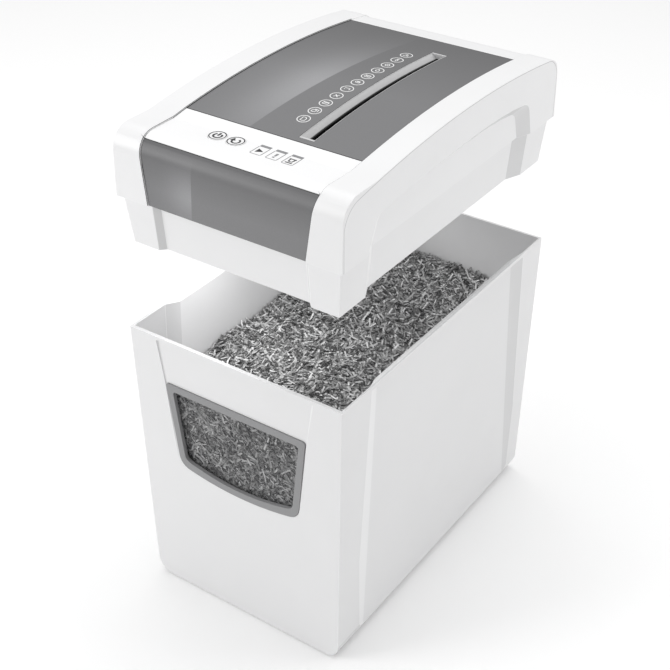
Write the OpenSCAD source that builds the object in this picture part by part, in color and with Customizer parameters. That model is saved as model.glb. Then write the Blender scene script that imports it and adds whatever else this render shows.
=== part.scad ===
// Paper shredder: an open bin with a window, and a cutting head drawn raised above it.
// +X is right, +Y is back and +Z is up. The origin is the middle of the bin's base.
// Shapes of the head are given from its parting plane, the level that rests on the bin's rim.

/* [Bin] */
// Width of the bin at its rim
bin_w = 252; // [248:1:256]
// Depth of the bin at its rim, front to back
bin_d = 387; // [383:1:391]
// Height of the bin
bin_h = 324; // [318:1:340]
// How much narrower the bin is at its base, on each side
side_draft = 6; // [5:0.5:7]
// How far the front wall leans in at its base
front_draft = 3; // [2:0.5:4]
// How far the rear wall leans in at its base
rear_draft = 2; // [1:0.5:3]
// Thickness of the bin's side walls, rear wall and floor
bin_wall = 2.5; // [2:0.1:3]
// Thickness of the bin's front wall, which carries the window
front_wall = 4; // [4:0.1:5]
// Level of the shredded paper in the middle of the bin
heap_top = 254; // [120:1:260]

/* [Window] */
// Level of the window frame's top edge
window_top = 272; // [250:1:276]
// Level of the lowest point of the window frame
window_low = 163.5; // [150:1:170]
// Half the width of the window frame at its top
window_half_top = 84.5; // [76:0.5:88]
// Half the width of the window frame above its lower corners
window_half_low = 75.5; // [70:0.5:80]
// Width of the window frame's border
bezel_border = 8; // [6:0.5:10]

/* [Head] */
// How far the head is lifted off the bin as drawn
head_lift = 144; // [60:1:160]
// Height of the cover's crown over the parting plane
crown_top = 77.5; // [74:0.5:80]
// Radius of the long arc of the crown, front to back
crown_r = 1150; // [1000:10:1400]
// Depth of the skirt that nests in the bin
skirt_h = 50; // [46:1:54]
// How far the side bands stand proud of the panels between them
band_proud = 1.3; // [0.8:0.1:1.6]
// Thickness of the panels that fill the middle of the cover
panel_t = 1.6; // [1.2:0.1:1.8]
// Width of the feed slot at its neck
slot_w = 5.4; // [5:0.1:6]
// Distance of the feed slot to the right of the middle
slot_x = 34; // [32:1:36]

/* [Cutters] */
// Distance between the two cutter shafts
cutter_spacing = 34; // [34:1:34]
// Radius of the cutting discs
disc_r = 20; // [19.5:0.1:20]
// Distance between two discs of one cutter
disc_pitch = 10; // [10:1:10]
// Thickness of one cutting disc
disc_t = 4.6; // [4.2:0.1:4.8]
// Number of hooks on each disc
disc_hooks = 4; // [3:1:6]

/* [Gears] */
// Pressure angle of every gear
pressure_angle = 20; // [20:1:20]
// Thinning of each tooth at the pitch circle, for play between teeth
tooth_play = 0.16; // [0.1:0.02:0.2]

/* [Hidden] */
$fn = 48;

// bin
base_corner_r = 20;
rear_heel_r = 9;
rim_lip = 4;
front_tilt = atan(front_draft / bin_h);
heap_gap = 0.8;
heap_skin = 3;
recess_depth_front = 1.8;
recess_half_top = 93;

// head
head_z = bin_h + head_lift;
cover_wall = 4.5;
shoulder_r = 22;
shoulder_y = 23.5 - bin_d / 2;
shoulder_z = crown_top - 33;
heel_r = 19;
heel_y = bin_d / 2 - 21.5;
heel_z = crown_top - 29.5;
crown_y = 20;
crown_front = -140;
crown_rear = 150;
panel_half_low = 87.8;
panel_half_mid = 96;
panel_half = 97.6;
seam_angle = 124.6;
seam_y = -121;
panel_gap = 0.4;
pocket_depth = 7;
skirt_inset = 4.5;
skirt_draft = 4.4;
housing_wall = 2.5;
housing_lap = 6;
lap_gap = 0.2;
lap_lean = 0.4;
floor_z = housing_wall - skirt_h;
control_z = crown_top - 11 - band_proud;

// feed slot
slot_front = -114;
slot_rear = 113;
funnel_depth = 6;
throat_low = 34;

// buttons and indicators
button_r = 8.8;
button_flange_r = 9.9;
power_at = [-39.5, -147.5];
reverse_at = [-19, -147.5];
button_proud = 0.4;
indicator_x = [9.6, 26.6, 43.6];
indicator_y = -141;
indicator_size = [11.6, 3.4];
board_top = 50;
board_t = 1.6;

// cutters and frame
cutter_z = 12;
left_x = slot_x - cutter_spacing / 2;
right_x = slot_x + cutter_spacing / 2;
shaft_r = 10;
journal_r = 7;
running_gap = 0.05;
plate_y = 118;
plate_t = 2.5;
plate_low = -44;
left_discs = 22;
right_discs = 21;
rod_r = 4;
rods = [[2, 46], [76, 42], [-10, -18], [78, -18]];
finger_t = 3.6;

// gear train behind the rear plate: a pinion and a wheel meet in each of three layers
layer_1 = [124, 136];
layer_2 = [138, 147];
layer_3 = [149, 156];
gear_plate_y = 160;
axle_r = 4;
main_at = [left_x, cutter_z];
second_angle = 165;
second_at = main_at + 36 * [cos(second_angle), sin(second_angle)];
first_angle = 250;
first_at = second_at + 37.5 * [cos(first_angle), sin(first_angle)];
motor_angle = 150;
motor_at = first_at + 36 * [cos(motor_angle), sin(motor_angle)];
spacers = [[30, -24], [24, 48], [-66, 34], [-66, -26]];

// motor
motor_r = 30;
motor_front = 22;
motor_rear = 118;
motor_shaft_r = 3;

// paper sensor and interlock
sensor_at = [48.5, 47];
interlock_at = [-107, 175];
interlock_stroke = 3;
screw_at = [[-100, -170], [100, -170], [100, 170], [-84, 176]];
damper_at = [[-8, -127], [72, -127], [-84, 127], [72, 127]];
gland_at = [-86, 24];

// ---------- helpers ----------

// A (y, z) outline drawn out along X.
module along_x(x0, x1) {
    translate([x0, 0, 0]) rotate([90, 0, 90]) linear_extrude(x1 - x0) children();
}

// An (x, z) outline drawn out along Y.
module along_y(y0, y1) {
    translate([0, y1, 0]) rotate([90, 0, 0]) linear_extrude(y1 - y0) children();
}

// A cylinder along Y whose centre line is at the (x, z) point given.
module rod_y(at, r, y0, y1) {
    translate([at[0], y1, at[1]]) rotate([90, 0, 0]) cylinder(r = r, h = y1 - y0);
}

module box(low, high) {
    translate(low) cube(high - low);
}

module both_sides() {
    children();
    mirror([1, 0, 0]) children();
}

module at_head() {
    translate([0, 0, head_z]) children();
}

function arc(cx, cy, r, a0, a1, n) =
    [for (i = [0:n]) let (a = a0 + (a1 - a0) * i / n) [cx + r * cos(a), cy + r * sin(a)]];

function bend(a, b, c, n) =
    [for (i = [0:n]) let (t = i / n) (1 - t) * (1 - t) * a + 2 * t * (1 - t) * b + t * t * c];

// ---------- bin ----------

function half_w(z, t) = bin_w / 2 - side_draft * (1 - z / bin_h) - t;
function front_y(z, t) = -bin_d / 2 + front_draft * (1 - z / bin_h) + t;
function rear_y(z, t) = bin_d / 2 - rear_draft * (1 - z / bin_h) - t;

// Front elevation of the bin, set in by t, open at the level top.
function bin_front_outline(t, top) =
    let (r = base_corner_r - t, c = half_w(base_corner_r, t) - r)
    concat([[-half_w(top, t), top]], arc(-c, t + r, r, 180, 270, 8),
        arc(c, t + r, r, 270, 360, 8), [[half_w(top, t), top]]);

// Side elevation of the bin, set in by t, and by the front wall's own thickness tf.
function bin_side_outline(t, tf, top) =
    let (r = rear_heel_r - t)
    concat([[front_y(top, tf), top], [front_y(t + 2, tf), t + 2], [front_y(t, tf) + 2, t]],
        arc(rear_y(rear_heel_r, t) - r, t + r, r, 270, 360, 6), [[rear_y(top, t), top]]);

module bin_block(t, tf, top) {
    intersection() {
        along_y(-bin_d, bin_d) polygon(bin_front_outline(t, top));
        along_x(-bin_w, bin_w) polygon(bin_side_outline(t, tf, top));
    }
}

// The hollow side of the bin between its corner posts: a face, and a slope up to each post.
function recess_x(z) = 119 + 1.5 * z / bin_h;
function post_front(z) = -144 - 6 * (1 - z / bin_h);
function post_rear(z) = 151 + 16 * (1 - z / bin_h);
function recess_section(z, t) =
    let (x = recess_x(z), out = half_w(z, 0) + 3, depth = half_w(z, 0) - x,
        front = 7 + 10 * z / bin_h, rear = 6.5 + 11.5 * z / bin_h)
    [[x - t, post_front(z) + front], [x - t, post_rear(z) - rear],
        [out - t, post_rear(z) + 3 * rear / depth], [out - t, post_front(z) - 3 * front / depth]];

module level(z, points) {
    translate([0, 0, z]) linear_extrude(0.01) polygon(points);
}

module side_recess() {
    hull() {
        level(-1, recess_section(-1, 0));
        level(bin_h - rim_lip, recess_section(bin_h - rim_lip, 0));
    }
}

// The same hollow seen from inside the bin, where it flares out under the rim.
module side_recess_inside() {
    lip_x = half_w(bin_h, bin_wall);
    lip_low = bin_h - 3;
    hull() {
        level(-1, recess_section(-1, bin_wall));
        level(lip_low, recess_section(lip_low, bin_wall));
        level(bin_h - 0.01, [[lip_x, post_front(bin_h)], [lip_x, post_rear(bin_h)],
            [lip_x + 3, post_rear(bin_h)], [lip_x + 3, post_front(bin_h)]]);
    }
}

module on_front_wall() {
    translate([0, front_y(0, 0), 0]) rotate([front_tilt, 0, 0]) children();
}

// The window's outline, grown by g: straight sides, a sagging lower edge and round lower corners.
function window_outline(g) =
    let (low = window_low - g, top = window_top + g, ht = window_half_top + g,
        hl = window_half_low + g, knee = window_low + 22, foot = hl - 14, sag = 6.5)
    concat([[ht - 2, top], [-ht + 2, top], [-ht, top - 2]],
        bend([-hl, knee], [-hl + 1.5, low + sag + 2], [-foot, low + sag], 6),
        bend([-foot, low + sag], [0, low - sag], [foot, low + sag], 10),
        bend([foot, low + sag], [hl - 1.5, low + sag + 2], [hl, knee], 6), [[ht, top - 2]]);

module front_recess() {
    slope_low = window_low + 6;
    lip_low = bin_h - rim_lip;
    on_front_wall() intersection() {
        along_x(-bin_w, bin_w)
            polygon([[0, slope_low], [recess_depth_front, lip_low], [-6, lip_low], [-6, slope_low]]);
        along_y(-10, 10) polygon([[-window_half_low, slope_low], [-window_half_top - 1.5, window_top],
            [-recess_half_top, lip_low], [recess_half_top, lip_low],
            [window_half_top + 1.5, window_top], [window_half_low, slope_low]]);
    }
}

// The rib that pushes the head's interlock plunger up when the head is seated.
module interlock_rib() {
    top = bin_h + 0.3 - skirt_h - 4 - 0.3;
    x_wall = -half_w(top, bin_wall / 2);
    along_y(interlock_at[1] - 4, interlock_at[1] + 4)
        polygon([[x_wall, top], [interlock_at[0] + 4, top], [interlock_at[0] + 4, top - 4],
            [x_wall, top - 20]]);
}

module bin_tub() {
    color("gainsboro") {
        difference() {
            bin_block(0, 0, bin_h);
            difference() {
                bin_block(bin_wall, front_wall, bin_h + 1);
                both_sides() side_recess_inside();
            }
            both_sides() side_recess();
            front_recess();
            on_front_wall() along_y(-8, 12) polygon(window_outline(-4));
            on_front_wall() along_y(-8, 1.7) polygon(window_outline(0.2));
        }
        interlock_rib();
    }
}

module window_bezel() {
    color("darkgray") on_front_wall() difference() {
        union() {
            along_y(-0.3, 1.7) polygon(window_outline(0));
            along_y(1.7, front_wall) polygon(window_outline(-4.2));
        }
        along_y(-8, 12) polygon(window_outline(-bezel_border));
    }
}

module window_pane() {
    color("dimgray", 0.4) on_front_wall()
        along_y(front_wall, front_wall + 2) polygon(window_outline(3));
}

// The shredded paper as one mass, set in by t. It is hollow, so that it weighs what loose paper does.
module heap_mass(t) {
    half = recess_x(0) - bin_wall - heap_gap - t;
    low = bin_wall + 0.3 + t;
    r = base_corner_r - bin_wall - t;
    shoulder = heap_top - 14 - t;
    front = front_y(0, front_wall + 2 + heap_gap + t);
    rear = rear_y(0, bin_wall + heap_gap + t);
    intersection() {
        along_y(-bin_d, bin_d) polygon(concat(arc(-half + r, low + r, r, 180, 270, 6),
            arc(half - r, low + r, r, 270, 360, 6), [[half, shoulder]],
            bend([half * 0.7, shoulder + 10], [0, shoulder + 18], [-half * 0.7, shoulder + 10], 6),
            [[-half, shoulder]]));
        along_x(-bin_w, bin_w) polygon(concat([[front, heap_top + 9], [front, low]],
            arc(rear - rear_heel_r, low + rear_heel_r, rear_heel_r, 270, 360, 6),
            [[rear, heap_top + 9]]));
    }
}

module shred_heap() {
    color("lightgray") difference() {
        heap_mass(0);
        heap_mass(heap_skin);
    }
}

// ---------- cover ----------

function crown_z(y, t) =
    crown_top - crown_r + sqrt(pow(crown_r - t, 2) - pow(y - crown_y, 2));

// Side elevation of the cover, set in by t, down to the level low.
function cover_outline(t, low) =
    concat([[t - bin_d / 2, low]], arc(shoulder_y, shoulder_z, shoulder_r - t, 180, 90, 8),
        [for (y = [crown_front:10:crown_rear]) [y, crown_z(y, t)]],
        arc(heel_y, heel_z, heel_r - t, 90, 0, 7), [[bin_d / 2 - t, low]]);

module cover_prism(t, low = 0) {
    along_x(-bin_w / 2, bin_w / 2) polygon(cover_outline(t, low));
}

// The layer of the cover between two depths.
module cover_skin(t0, t1) {
    along_x(-bin_w / 2, bin_w / 2) difference() {
        polygon(cover_outline(t0, -2));
        polygon(cover_outline(t1, -3));
    }
}

// Front elevation of the strip between the bands, and its plan, set in by g.
function middle_front(g) =
    let (tilt = (panel_half_mid - panel_half_low) / (shoulder_z + 17.5))
    [for (s = [-1, 1], z = s < 0 ? [90, -6] : [-6, 90]) [s * (panel_half_low + tilt * z - g), z]];
function middle_plan(g, rear) =
    [for (s = [-1, 1], p = s < 0 ? [[panel_half, rear], [panel_half, seam_y], [panel_half_mid, -183],
        [panel_half_mid, -200]] : [[panel_half_mid, -200], [panel_half_mid, -183],
        [panel_half, seam_y], [panel_half, rear]]) [s * (p[0] - g), p[1]]];

function seam_ray(turn) =
    [shoulder_y + 60 * cos(seam_angle + turn), shoulder_z + 60 * sin(seam_angle + turn)];

module front_zone(g, turn) {
    intersection() {
        along_x(-bin_w, bin_w) polygon([[shoulder_y, shoulder_z], seam_ray(turn), [-260, 90],
            [-260, -6], [shoulder_y, -6]]);
        along_y(-260, 0) polygon(middle_front(g));
    }
}

module control_zone(g, turn, rear) {
    intersection() {
        along_x(-bin_w, bin_w)
            polygon([[shoulder_y, shoulder_z], seam_ray(-turn), [rear, 100], [rear, 40]]);
        translate([0, 0, 20]) linear_extrude(90) polygon(middle_plan(g, rear));
    }
}

module top_zone(g, front, rear) {
    intersection() {
        along_x(-bin_w, bin_w) polygon([[front, 40], [front, 110], [rear, 110], [rear, 40]]);
        translate([0, 0, 20]) linear_extrude(90) polygon(middle_plan(g, bin_d));
    }
}

// The arched hollow in each side of the cover, moved in by t.
function arch_outline() =
    concat([[-155, -1]], bend([-143.5, 26], [-140, 34], [-131, 34.4], 4),
        bend([-131, 34.4], [50, 50], [118, 38.6], 8),
        bend([118, 38.6], [132, 37.5], [134.7, 28], 4), [[142, -1]]);
function arch_floor() = [for (p = arch_outline()) [(p[0] + 6.5) * 0.889 - 8, p[1] * 0.81]];

module side_arch(t) {
    hull() {
        along_x(bin_w / 2 - t, bin_w / 2 - t + 0.01) polygon(arch_outline());
        along_x(bin_w / 2 - pocket_depth - t, bin_w / 2 - pocket_depth - t + 0.01)
            polygon(arch_floor());
    }
}

module slot_window(gap, low, high) {
    half = slot_w / 2 + funnel_depth + gap;
    left = slot_x - half;
    right = slot_x + slot_w / 2 + 4.8 + gap;
    box([left, slot_front - gap, low], [right, slot_rear + gap, high]);
}

module top_cover() {
    color("white") at_head() difference() {
        union() {
            difference() {
                cover_prism(0);
                difference() {
                    along_x(cover_wall - bin_w / 2, bin_w / 2 - cover_wall)
                        polygon(cover_outline(cover_wall, -1));
                    both_sides() side_arch(cover_wall);
                }
            }
            // pillars for the housing screws and for the control board
            for (p = screw_at)
                translate([p[0], p[1], 4 + floor_z]) cylinder(r = 4.5, h = 59 - floor_z);
            for (x = [-70, 57], y = [-180, -137])
                translate([x, y, board_top]) cylinder(r = 3, h = (y < -170 ? 6.5 : 13));
        }
        both_sides() side_arch(0);
        intersection() {
            cover_skin(-2, band_proud);
            union() {
                front_zone(0, 0);
                control_zone(0, 0, seam_y);
                top_zone(0, seam_y, bin_d);
                box([-panel_half, 150, -6], [panel_half, 200, 60]);
            }
        }
        intersection() {
            cover_skin(-2, band_proud + panel_t + 0.1);
            union() {
                front_zone(0, 0);
                control_zone(0, 0, seam_y);
                top_zone(0, seam_y, crown_rear);
            }
        }
        slot_window(3, 40, 100);
        for (p = [power_at, reverse_at])
            translate([p[0], p[1], 52]) cylinder(r = button_flange_r + 1.5, h = 30);
        for (x = indicator_x)
            box([x - 7, indicator_y - 3, 52], [x + 7, indicator_y + 3, 90]);
        for (p = screw_at)
            translate([p[0], p[1], 3 + floor_z]) cylinder(r = 1.6, h = 26);
        for (i = [-4:4])
            box([60 + i * 7 - 1.6, 180, 14], [60 + i * 7 + 1.6, 200, 40]);
        rod_y(gland_at, 7, 180, 200);
    }
}

module top_panel() {
    color("gray") at_head() difference() {
        intersection() {
            cover_skin(band_proud, band_proud + panel_t);
            top_zone(panel_gap, seam_y + panel_gap / 2, crown_rear - panel_gap);
        }
        slot_window(0.1, 40, 100);
    }
}

module front_panel() {
    color("gray") at_head() intersection() {
        cover_skin(band_proud, band_proud + panel_t);
        front_zone(panel_gap, 0.5);
        box([-bin_w, -bin_d, 0.3], [bin_w, 0, 90]);
    }
}

module control_panel() {
    color("white") at_head() difference() {
        intersection() {
            cover_skin(band_proud, band_proud + panel_t);
            control_zone(panel_gap, 0.5, seam_y - panel_gap / 2);
        }
        for (p = [power_at, reverse_at])
            translate([p[0], p[1], 52]) cylinder(r = button_r + 0.3, h = 30);
        for (x = indicator_x)
            translate([x - indicator_size[0] / 2, indicator_y - indicator_size[1] / 2, 52])
                cube([indicator_size[0], indicator_size[1], 30]);
    }
}

// A chamfer on one side of the slot that follows the crown, from x_top at the surface to x_low.
module funnel_side(x_top, x_low, deep) {
    r = crown_r - band_proud;
    intersection() {
        translate([0, crown_y, crown_top - crown_r]) rotate([0, -90, 0])
            rotate_extrude($fn = 256)
                polygon([[r + 9, -x_top], [r - 0.6, -x_top], [r - deep, -x_low], [r - deep, -slot_x],
                    [r + 9, -slot_x]]);
        box([0, slot_front + 2, 40], [80, slot_rear - 2, 100]);
    }
}

module feed_throat() {
    color("silver") at_head() difference() {
        intersection() {
            slot_window(0, throat_low, 100);
            cover_prism(band_proud);
        }
        box([slot_x - slot_w / 2, slot_front + 2, throat_low - 1],
            [slot_x + slot_w / 2, slot_rear - 2, 100]);
        funnel_side(slot_x - slot_w / 2 - funnel_depth + 0.5, slot_x - slot_w / 2, funnel_depth);
        funnel_side(slot_x + slot_w / 2 + 4.3, slot_x + slot_w / 2, funnel_depth + 4);
        box([slot_x, -4, 36], [slot_x + 20, 4, 55]);
    }
}

// ---------- lower housing ----------

// The skirt set in by t, from the level low up to high.
module skirt_block(t, low, high) {
    half_x = bin_w / 2 - skirt_inset - lap_gap - t;
    half_y = bin_d / 2 - skirt_inset - lap_gap - t;
    intersection() {
        along_y(-bin_d, bin_d) polygon([[-half_x, high], [-half_x, 0],
            [skirt_draft * -low / skirt_h - half_x, low], [half_x + skirt_draft * low / skirt_h, low],
            [half_x, 0], [half_x, high]]);
        along_x(-bin_w, bin_w) polygon([[lap_lean - half_y, high], [-half_y, 0],
            [skirt_draft * -low / skirt_h - half_y, low], [half_y + skirt_draft * low / skirt_h, low],
            [half_y, 0], [half_y - lap_lean, high]]);
    }
}

// A hollow in one side of the skirt, swept down along its lean. The plan is (out, along).
module skirt_hollow(out, plan) {
    translate([out, 0, 0]) rotate([0, atan(skirt_draft / skirt_h), 0])
        translate([0, 0, -skirt_h - 8]) linear_extrude(skirt_h + 18) polygon(plan);
}

module skirt_hollows(t) {
    side = [[-7.6 - t, -129], [-7.6 - t, 126], [4 - t, 155], [4 - t, -152.5]];
    rear = [[-4 - t, -72], [-4 - t, 72], [4 - t, 102], [4 - t, -102]];
    front = [[-5.8 - t, -81.3], [-5.8 - t, 81.3], [4 - t, 91.1], [4 - t, -91.1]];
    both_sides() skirt_hollow(bin_w / 2 - skirt_inset - lap_gap, side);
    rotate([0, 0, 90]) skirt_hollow(bin_d / 2 - skirt_inset - lap_gap, rear);
    rotate([0, 0, -90]) skirt_hollow(bin_d / 2 - skirt_inset - lap_gap, front);
}

module lower_housing() {
    color("whitesmoke") at_head() difference() {
        union() {
            difference() {
                skirt_block(0, -skirt_h, housing_lap);
                difference() {
                    skirt_block(housing_wall, floor_z, housing_lap + 1);
                    skirt_hollows(housing_wall);
                }
            }
            // walls of the discharge chute, screw pads and the plunger's guide
            difference() {
                box([2, -115, -skirt_h], [66, 115, -26]);
                box([4, -113, -skirt_h - 1], [64, 113, 0]);
            }
            for (p = screw_at)
                translate([p[0], p[1], -skirt_h]) cylinder(r = 6.5, h = 6.2);
            translate([interlock_at[0], interlock_at[1], -skirt_h]) cylinder(r = 6, h = 10);
        }
        skirt_hollows(0);
        box([4, -113, -skirt_h - 1], [64, 113, -20]);
        // the lap stops short of the slopes in the cover's sides
        both_sides() {
            box([105, -160, 0], [130, -126, 20]);
            box([105, 108, 0], [130, 160, 20]);
        }
        for (p = screw_at) {
            translate([p[0], p[1], -skirt_h - 1]) cylinder(r = 1.8, h = 20);
            translate([p[0], p[1], -skirt_h - 1]) cylinder(r = 4, h = 4);
        }
        translate([interlock_at[0], interlock_at[1], -skirt_h - 1])
            cylinder(r = 3 + running_gap, h = 20);
        for (i = [0:6])
            box([-98 + i * 11, 30, -skirt_h - 1], [-93 + i * 11, 96, -40]);
    }
}

// ---------- buttons, indicators and control board ----------

module push_button(at) {
    translate([at[0], at[1], control_z + button_proud - 2.4]) cylinder(r = button_r, h = 2.4);
    translate([at[0], at[1], control_z - 4]) cylinder(r = button_flange_r, h = 2.1);
    translate([at[0], at[1], board_top + 6.4]) cylinder(r = 3, h = control_z - 3 - board_top - 6.4);
}

module power_button() {
    color("white") at_head() push_button(power_at);
}

module reverse_button() {
    color("white") at_head() push_button(reverse_at);
}

module indicator_light_pipes() {
    color("slategray") at_head() for (x = indicator_x) {
        translate([x - indicator_size[0] / 2 + 0.1, indicator_y - indicator_size[1] / 2 + 0.1, 58])
            cube([indicator_size[0] - 0.2, indicator_size[1] - 0.2, control_z - 58]);
        translate([x, indicator_y, board_top + 3.4]) cylinder(r = 1.6, h = 5);
    }
}

module control_board() {
    color("seagreen") at_head() difference() {
        box([-75, -184, board_top - board_t], [62, -132, board_top]);
        for (x = [-70, 57], y = [-180, -137])
            translate([x, y, board_top - 4]) cylinder(r = 1.6, h = 8);
    }
}

module push_switches() {
    color("dimgray") at_head() for (p = [power_at, reverse_at]) {
        box([p[0] - 3, p[1] - 3, board_top], [p[0] + 3, p[1] + 3, board_top + 3.5]);
        translate([p[0], p[1], board_top + 3]) cylinder(r = 1.6, h = 2);
    }
}

module indicator_leds() {
    color("palegreen") at_head() for (x = indicator_x)
        translate([x, indicator_y, board_top]) cylinder(r = 1.5, h = 3);
}

module board_capacitor() {
    color("midnightblue") at_head()
        translate([-52, -160, board_top - board_t - 22]) cylinder(r = 8, h = 22);
}

module board_relay() {
    color("royalblue") at_head()
        box([-20, -170, board_top - board_t - 15], [-1, -155, board_top - board_t]);
}

module board_transformer() {
    color("goldenrod") at_head()
        box([18, -176, board_top - board_t - 24], [48, -148, board_top - board_t]);
}

// ---------- cutting frame ----------

// A plate across the head with a foot turned outwards at its lower edge; side is -1 or 1 along Y.
module frame_plate(outline, side, foot) {
    y0 = side < 0 ? -plate_y - plate_t : plate_y;
    along_y(y0, y0 + plate_t) polygon(outline);
    f = side < 0 ? [-plate_y - 16, -plate_y] : [plate_y, plate_y + 16];
    box([foot[0], f[0], plate_low], [foot[1], f[1], plate_low + plate_t]);
}

module front_frame_plate() {
    color("lightsteelblue") at_head() difference() {
        frame_plate([[-22, plate_low], [90, plate_low], [90, 30], [76, 54], [-6, 54], [-22, 30]],
            -1, [-22, 90]);
        for (x = [left_x, right_x])
            rod_y([x, cutter_z], journal_r + 3, -130, -110);
        for (p = rods)
            rod_y(p, 2.1, -130, -110);
        for (p = [damper_at[0], damper_at[1]])
            translate([p[0], p[1], plate_low - 1]) cylinder(r = 2.2, h = 5);
    }
}

module rear_frame_plate() {
    color("lightsteelblue") at_head() difference() {
        frame_plate([[-98, plate_low], [90, plate_low], [90, 30], [76, 54], [-70, 54], [-98, 34]],
            1, [-98, 90]);
        for (x = [left_x, right_x])
            rod_y([x, cutter_z], journal_r + 3, 110, 130);
        for (p = concat(rods, spacers))
            rod_y(p, 2.1, 110, 130);
        for (p = [first_at, second_at])
            rod_y(p, axle_r, 110, 130);
        rod_y(motor_at, 9, 110, 130);
        for (a = [45, 225])
            rod_y(motor_at + 20 * [cos(a), sin(a)], 2.1, 110, 130);
        for (p = [damper_at[2], damper_at[3]])
            translate([p[0], p[1], plate_low - 1]) cylinder(r = 2.2, h = 5);
    }
}

module frame_tie_rods() {
    color("silver") at_head() for (p = rods)
        rod_y(p, rod_r, -plate_y, plate_y);
}

module frame_dampers() {
    color("black") at_head() for (p = damper_at)
        difference() {
            translate([p[0], p[1], floor_z]) cylinder(r = 6.5, h = plate_low - floor_z);
            translate([p[0], p[1], floor_z - 1]) cylinder(r = 2.2, h = 9);
        }
}

// Screws through the frame's feet, and screws into the ends of the tie rods and spacers.
module frame_screws() {
    color("dimgray") at_head() {
        for (p = damper_at) {
            translate([p[0], p[1], floor_z + 0.2])
                cylinder(r = 1.9, h = plate_low + plate_t - floor_z);
            translate([p[0], p[1], plate_low + plate_t]) cylinder(r = 3.6, h = 2.4);
        }
        for (p = rods) {
            rod_y(p, 1.9, -plate_y - plate_t - 0.2, -plate_y);
            rod_y(p, 3.6, -plate_y - plate_t - 2.6, -plate_y - plate_t);
            rod_y(p, 1.9, plate_y, plate_y + plate_t + 0.2);
            rod_y(p, 3.2, plate_y + plate_t, plate_y + plate_t + 2.2);
        }
        for (p = spacers)
            rod_y(p, 3.6, gear_plate_y + 2, gear_plate_y + 4.4);
    }
}

module housing_screws() {
    color("dimgray") at_head() for (p = screw_at) {
        translate([p[0], p[1], -skirt_h + 0.8]) cylinder(r = 3.5, h = 2.2);
        translate([p[0], p[1], -skirt_h + 2.5]) cylinder(r = 1.5, h = 22);
    }
}

// One hooked disc: each hook is a notch cut back from the rim.
function disc_outline(turn) =
    [for (h = [0:disc_hooks - 1]) let (a = turn + h * 360 / disc_hooks, span = 360 / disc_hooks)
        each concat(arc(0, 0, disc_r, a + 14, a + span, 6),
            [[(disc_r - 4.5) * cos(a + span + 1), (disc_r - 4.5) * sin(a + span + 1)]])];

module cutter(x, count, front_end, rear_end) {
    at_head() {
        rod_y([x, cutter_z], journal_r, front_end, rear_end);
        rod_y([x, cutter_z], shaft_r, 1 - plate_y, plate_y - 1);
        for (i = [0:count - 1]) {
            y = (i - (count - 1) / 2) * disc_pitch;
            translate([x, 0, cutter_z]) along_y(y - disc_t / 2, y + disc_t / 2)
                polygon(disc_outline(i * 23));
        }
    }
}

module left_cutter() {
    color("slategray") cutter(left_x, left_discs, -136, layer_1[1] + 1);
}

module right_cutter() {
    color("slategray") cutter(right_x, right_discs, -136, plate_y + plate_t);
}

module shaft_bushes() {
    color("peru") at_head() for (x = [left_x, right_x], side = [-1, 1]) {
        y0 = side < 0 ? -plate_y - plate_t : plate_y;
        difference() {
            union() {
                rod_y([x, cutter_z], journal_r + 3, y0, y0 + plate_t);
                rod_y([x, cutter_z], journal_r + 4.5, side < 0 ? y0 - 1.2 : y0 + plate_t,
                    side < 0 ? y0 : y0 + plate_t + 1.2);
            }
            rod_y([x, cutter_z], journal_r + running_gap, -140, 140);
        }
    }
}

// Comb beside a cutter, with a finger in every gap between its discs. Drawn for the left one.
module stripper_comb(count) {
    difference() {
        union() {
            box([-17, 1 - plate_y, -26], [-4.5, plate_y - 1, 36]);
            for (i = [0:count - 1]) {
                y = (i - (count - 1) / 2) * disc_pitch;
                box([-5, y - finger_t / 2, -4], [9, y + finger_t / 2, 28]);
            }
        }
        rod_y([left_x, cutter_z], shaft_r + 1.2, -120, 120);
        rod_y(rods[2], rod_r, -120, 120);
    }
}

module left_stripper_comb() {
    color("dimgray") at_head() stripper_comb(left_discs - 1);
}

module right_stripper_comb() {
    color("dimgray") at_head() translate([2 * slot_x, 0, 0]) mirror([1, 0, 0])
        stripper_comb(right_discs - 1);
}

// ---------- gears ----------

function involute(a) = tan(a) * 180 / PI - a;

// Half the angle that a tooth spans at radius r.
function tooth_half(m, n, r) =
    let (rb = m * n / 2 * cos(pressure_angle), play = tooth_play / (m * n) * 180 / PI)
    90 / n - play + involute(pressure_angle) - involute(acos(min(1, rb / max(r, rb))));

// Outline of a spur gear of module m with n teeth, one of them at the angle turn.
function gear_outline(m, n, turn, tip) =
    let (rb = m * n / 2 * cos(pressure_angle), ra = m * n / 2 + tip * m, rf = m * (n / 2 - 1.25),
        r0 = max(rb, rf), radii = [for (k = [0:3]) r0 + (ra - r0) * k / 3])
    [for (i = [0:n - 1]) let (c = turn + 360 * i / n)
        each concat([for (r = concat([rf], radii)) let (a = c - tooth_half(m, n, r))
            [r * cos(a), r * sin(a)]],
            [for (k = [3:-1:0]) let (a = c + tooth_half(m, n, radii[k]))
                [radii[k] * cos(a), radii[k] * sin(a)]],
            [let (a = c + tooth_half(m, n, rf)) [rf * cos(a), rf * sin(a)]])];

module gear(at, m, n, turn, layer, tip = 1) {
    translate([at[0], 0, at[1]]) along_y(layer[0], layer[1]) polygon(gear_outline(m, n, turn, tip));
}

stub = 0.75;

module left_cutter_gear() {
    color("darkgray") at_head() difference() {
        gear([left_x, cutter_z], 2, 17, 0, [-133, -124]);
        rod_y([left_x, cutter_z], journal_r, -140, -110);
    }
}

module right_cutter_gear() {
    color("darkgray") at_head() difference() {
        gear([right_x, cutter_z], 2, 17, 0, [-133, -124]);
        rod_y([right_x, cutter_z], journal_r, -140, -110);
    }
}

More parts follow.
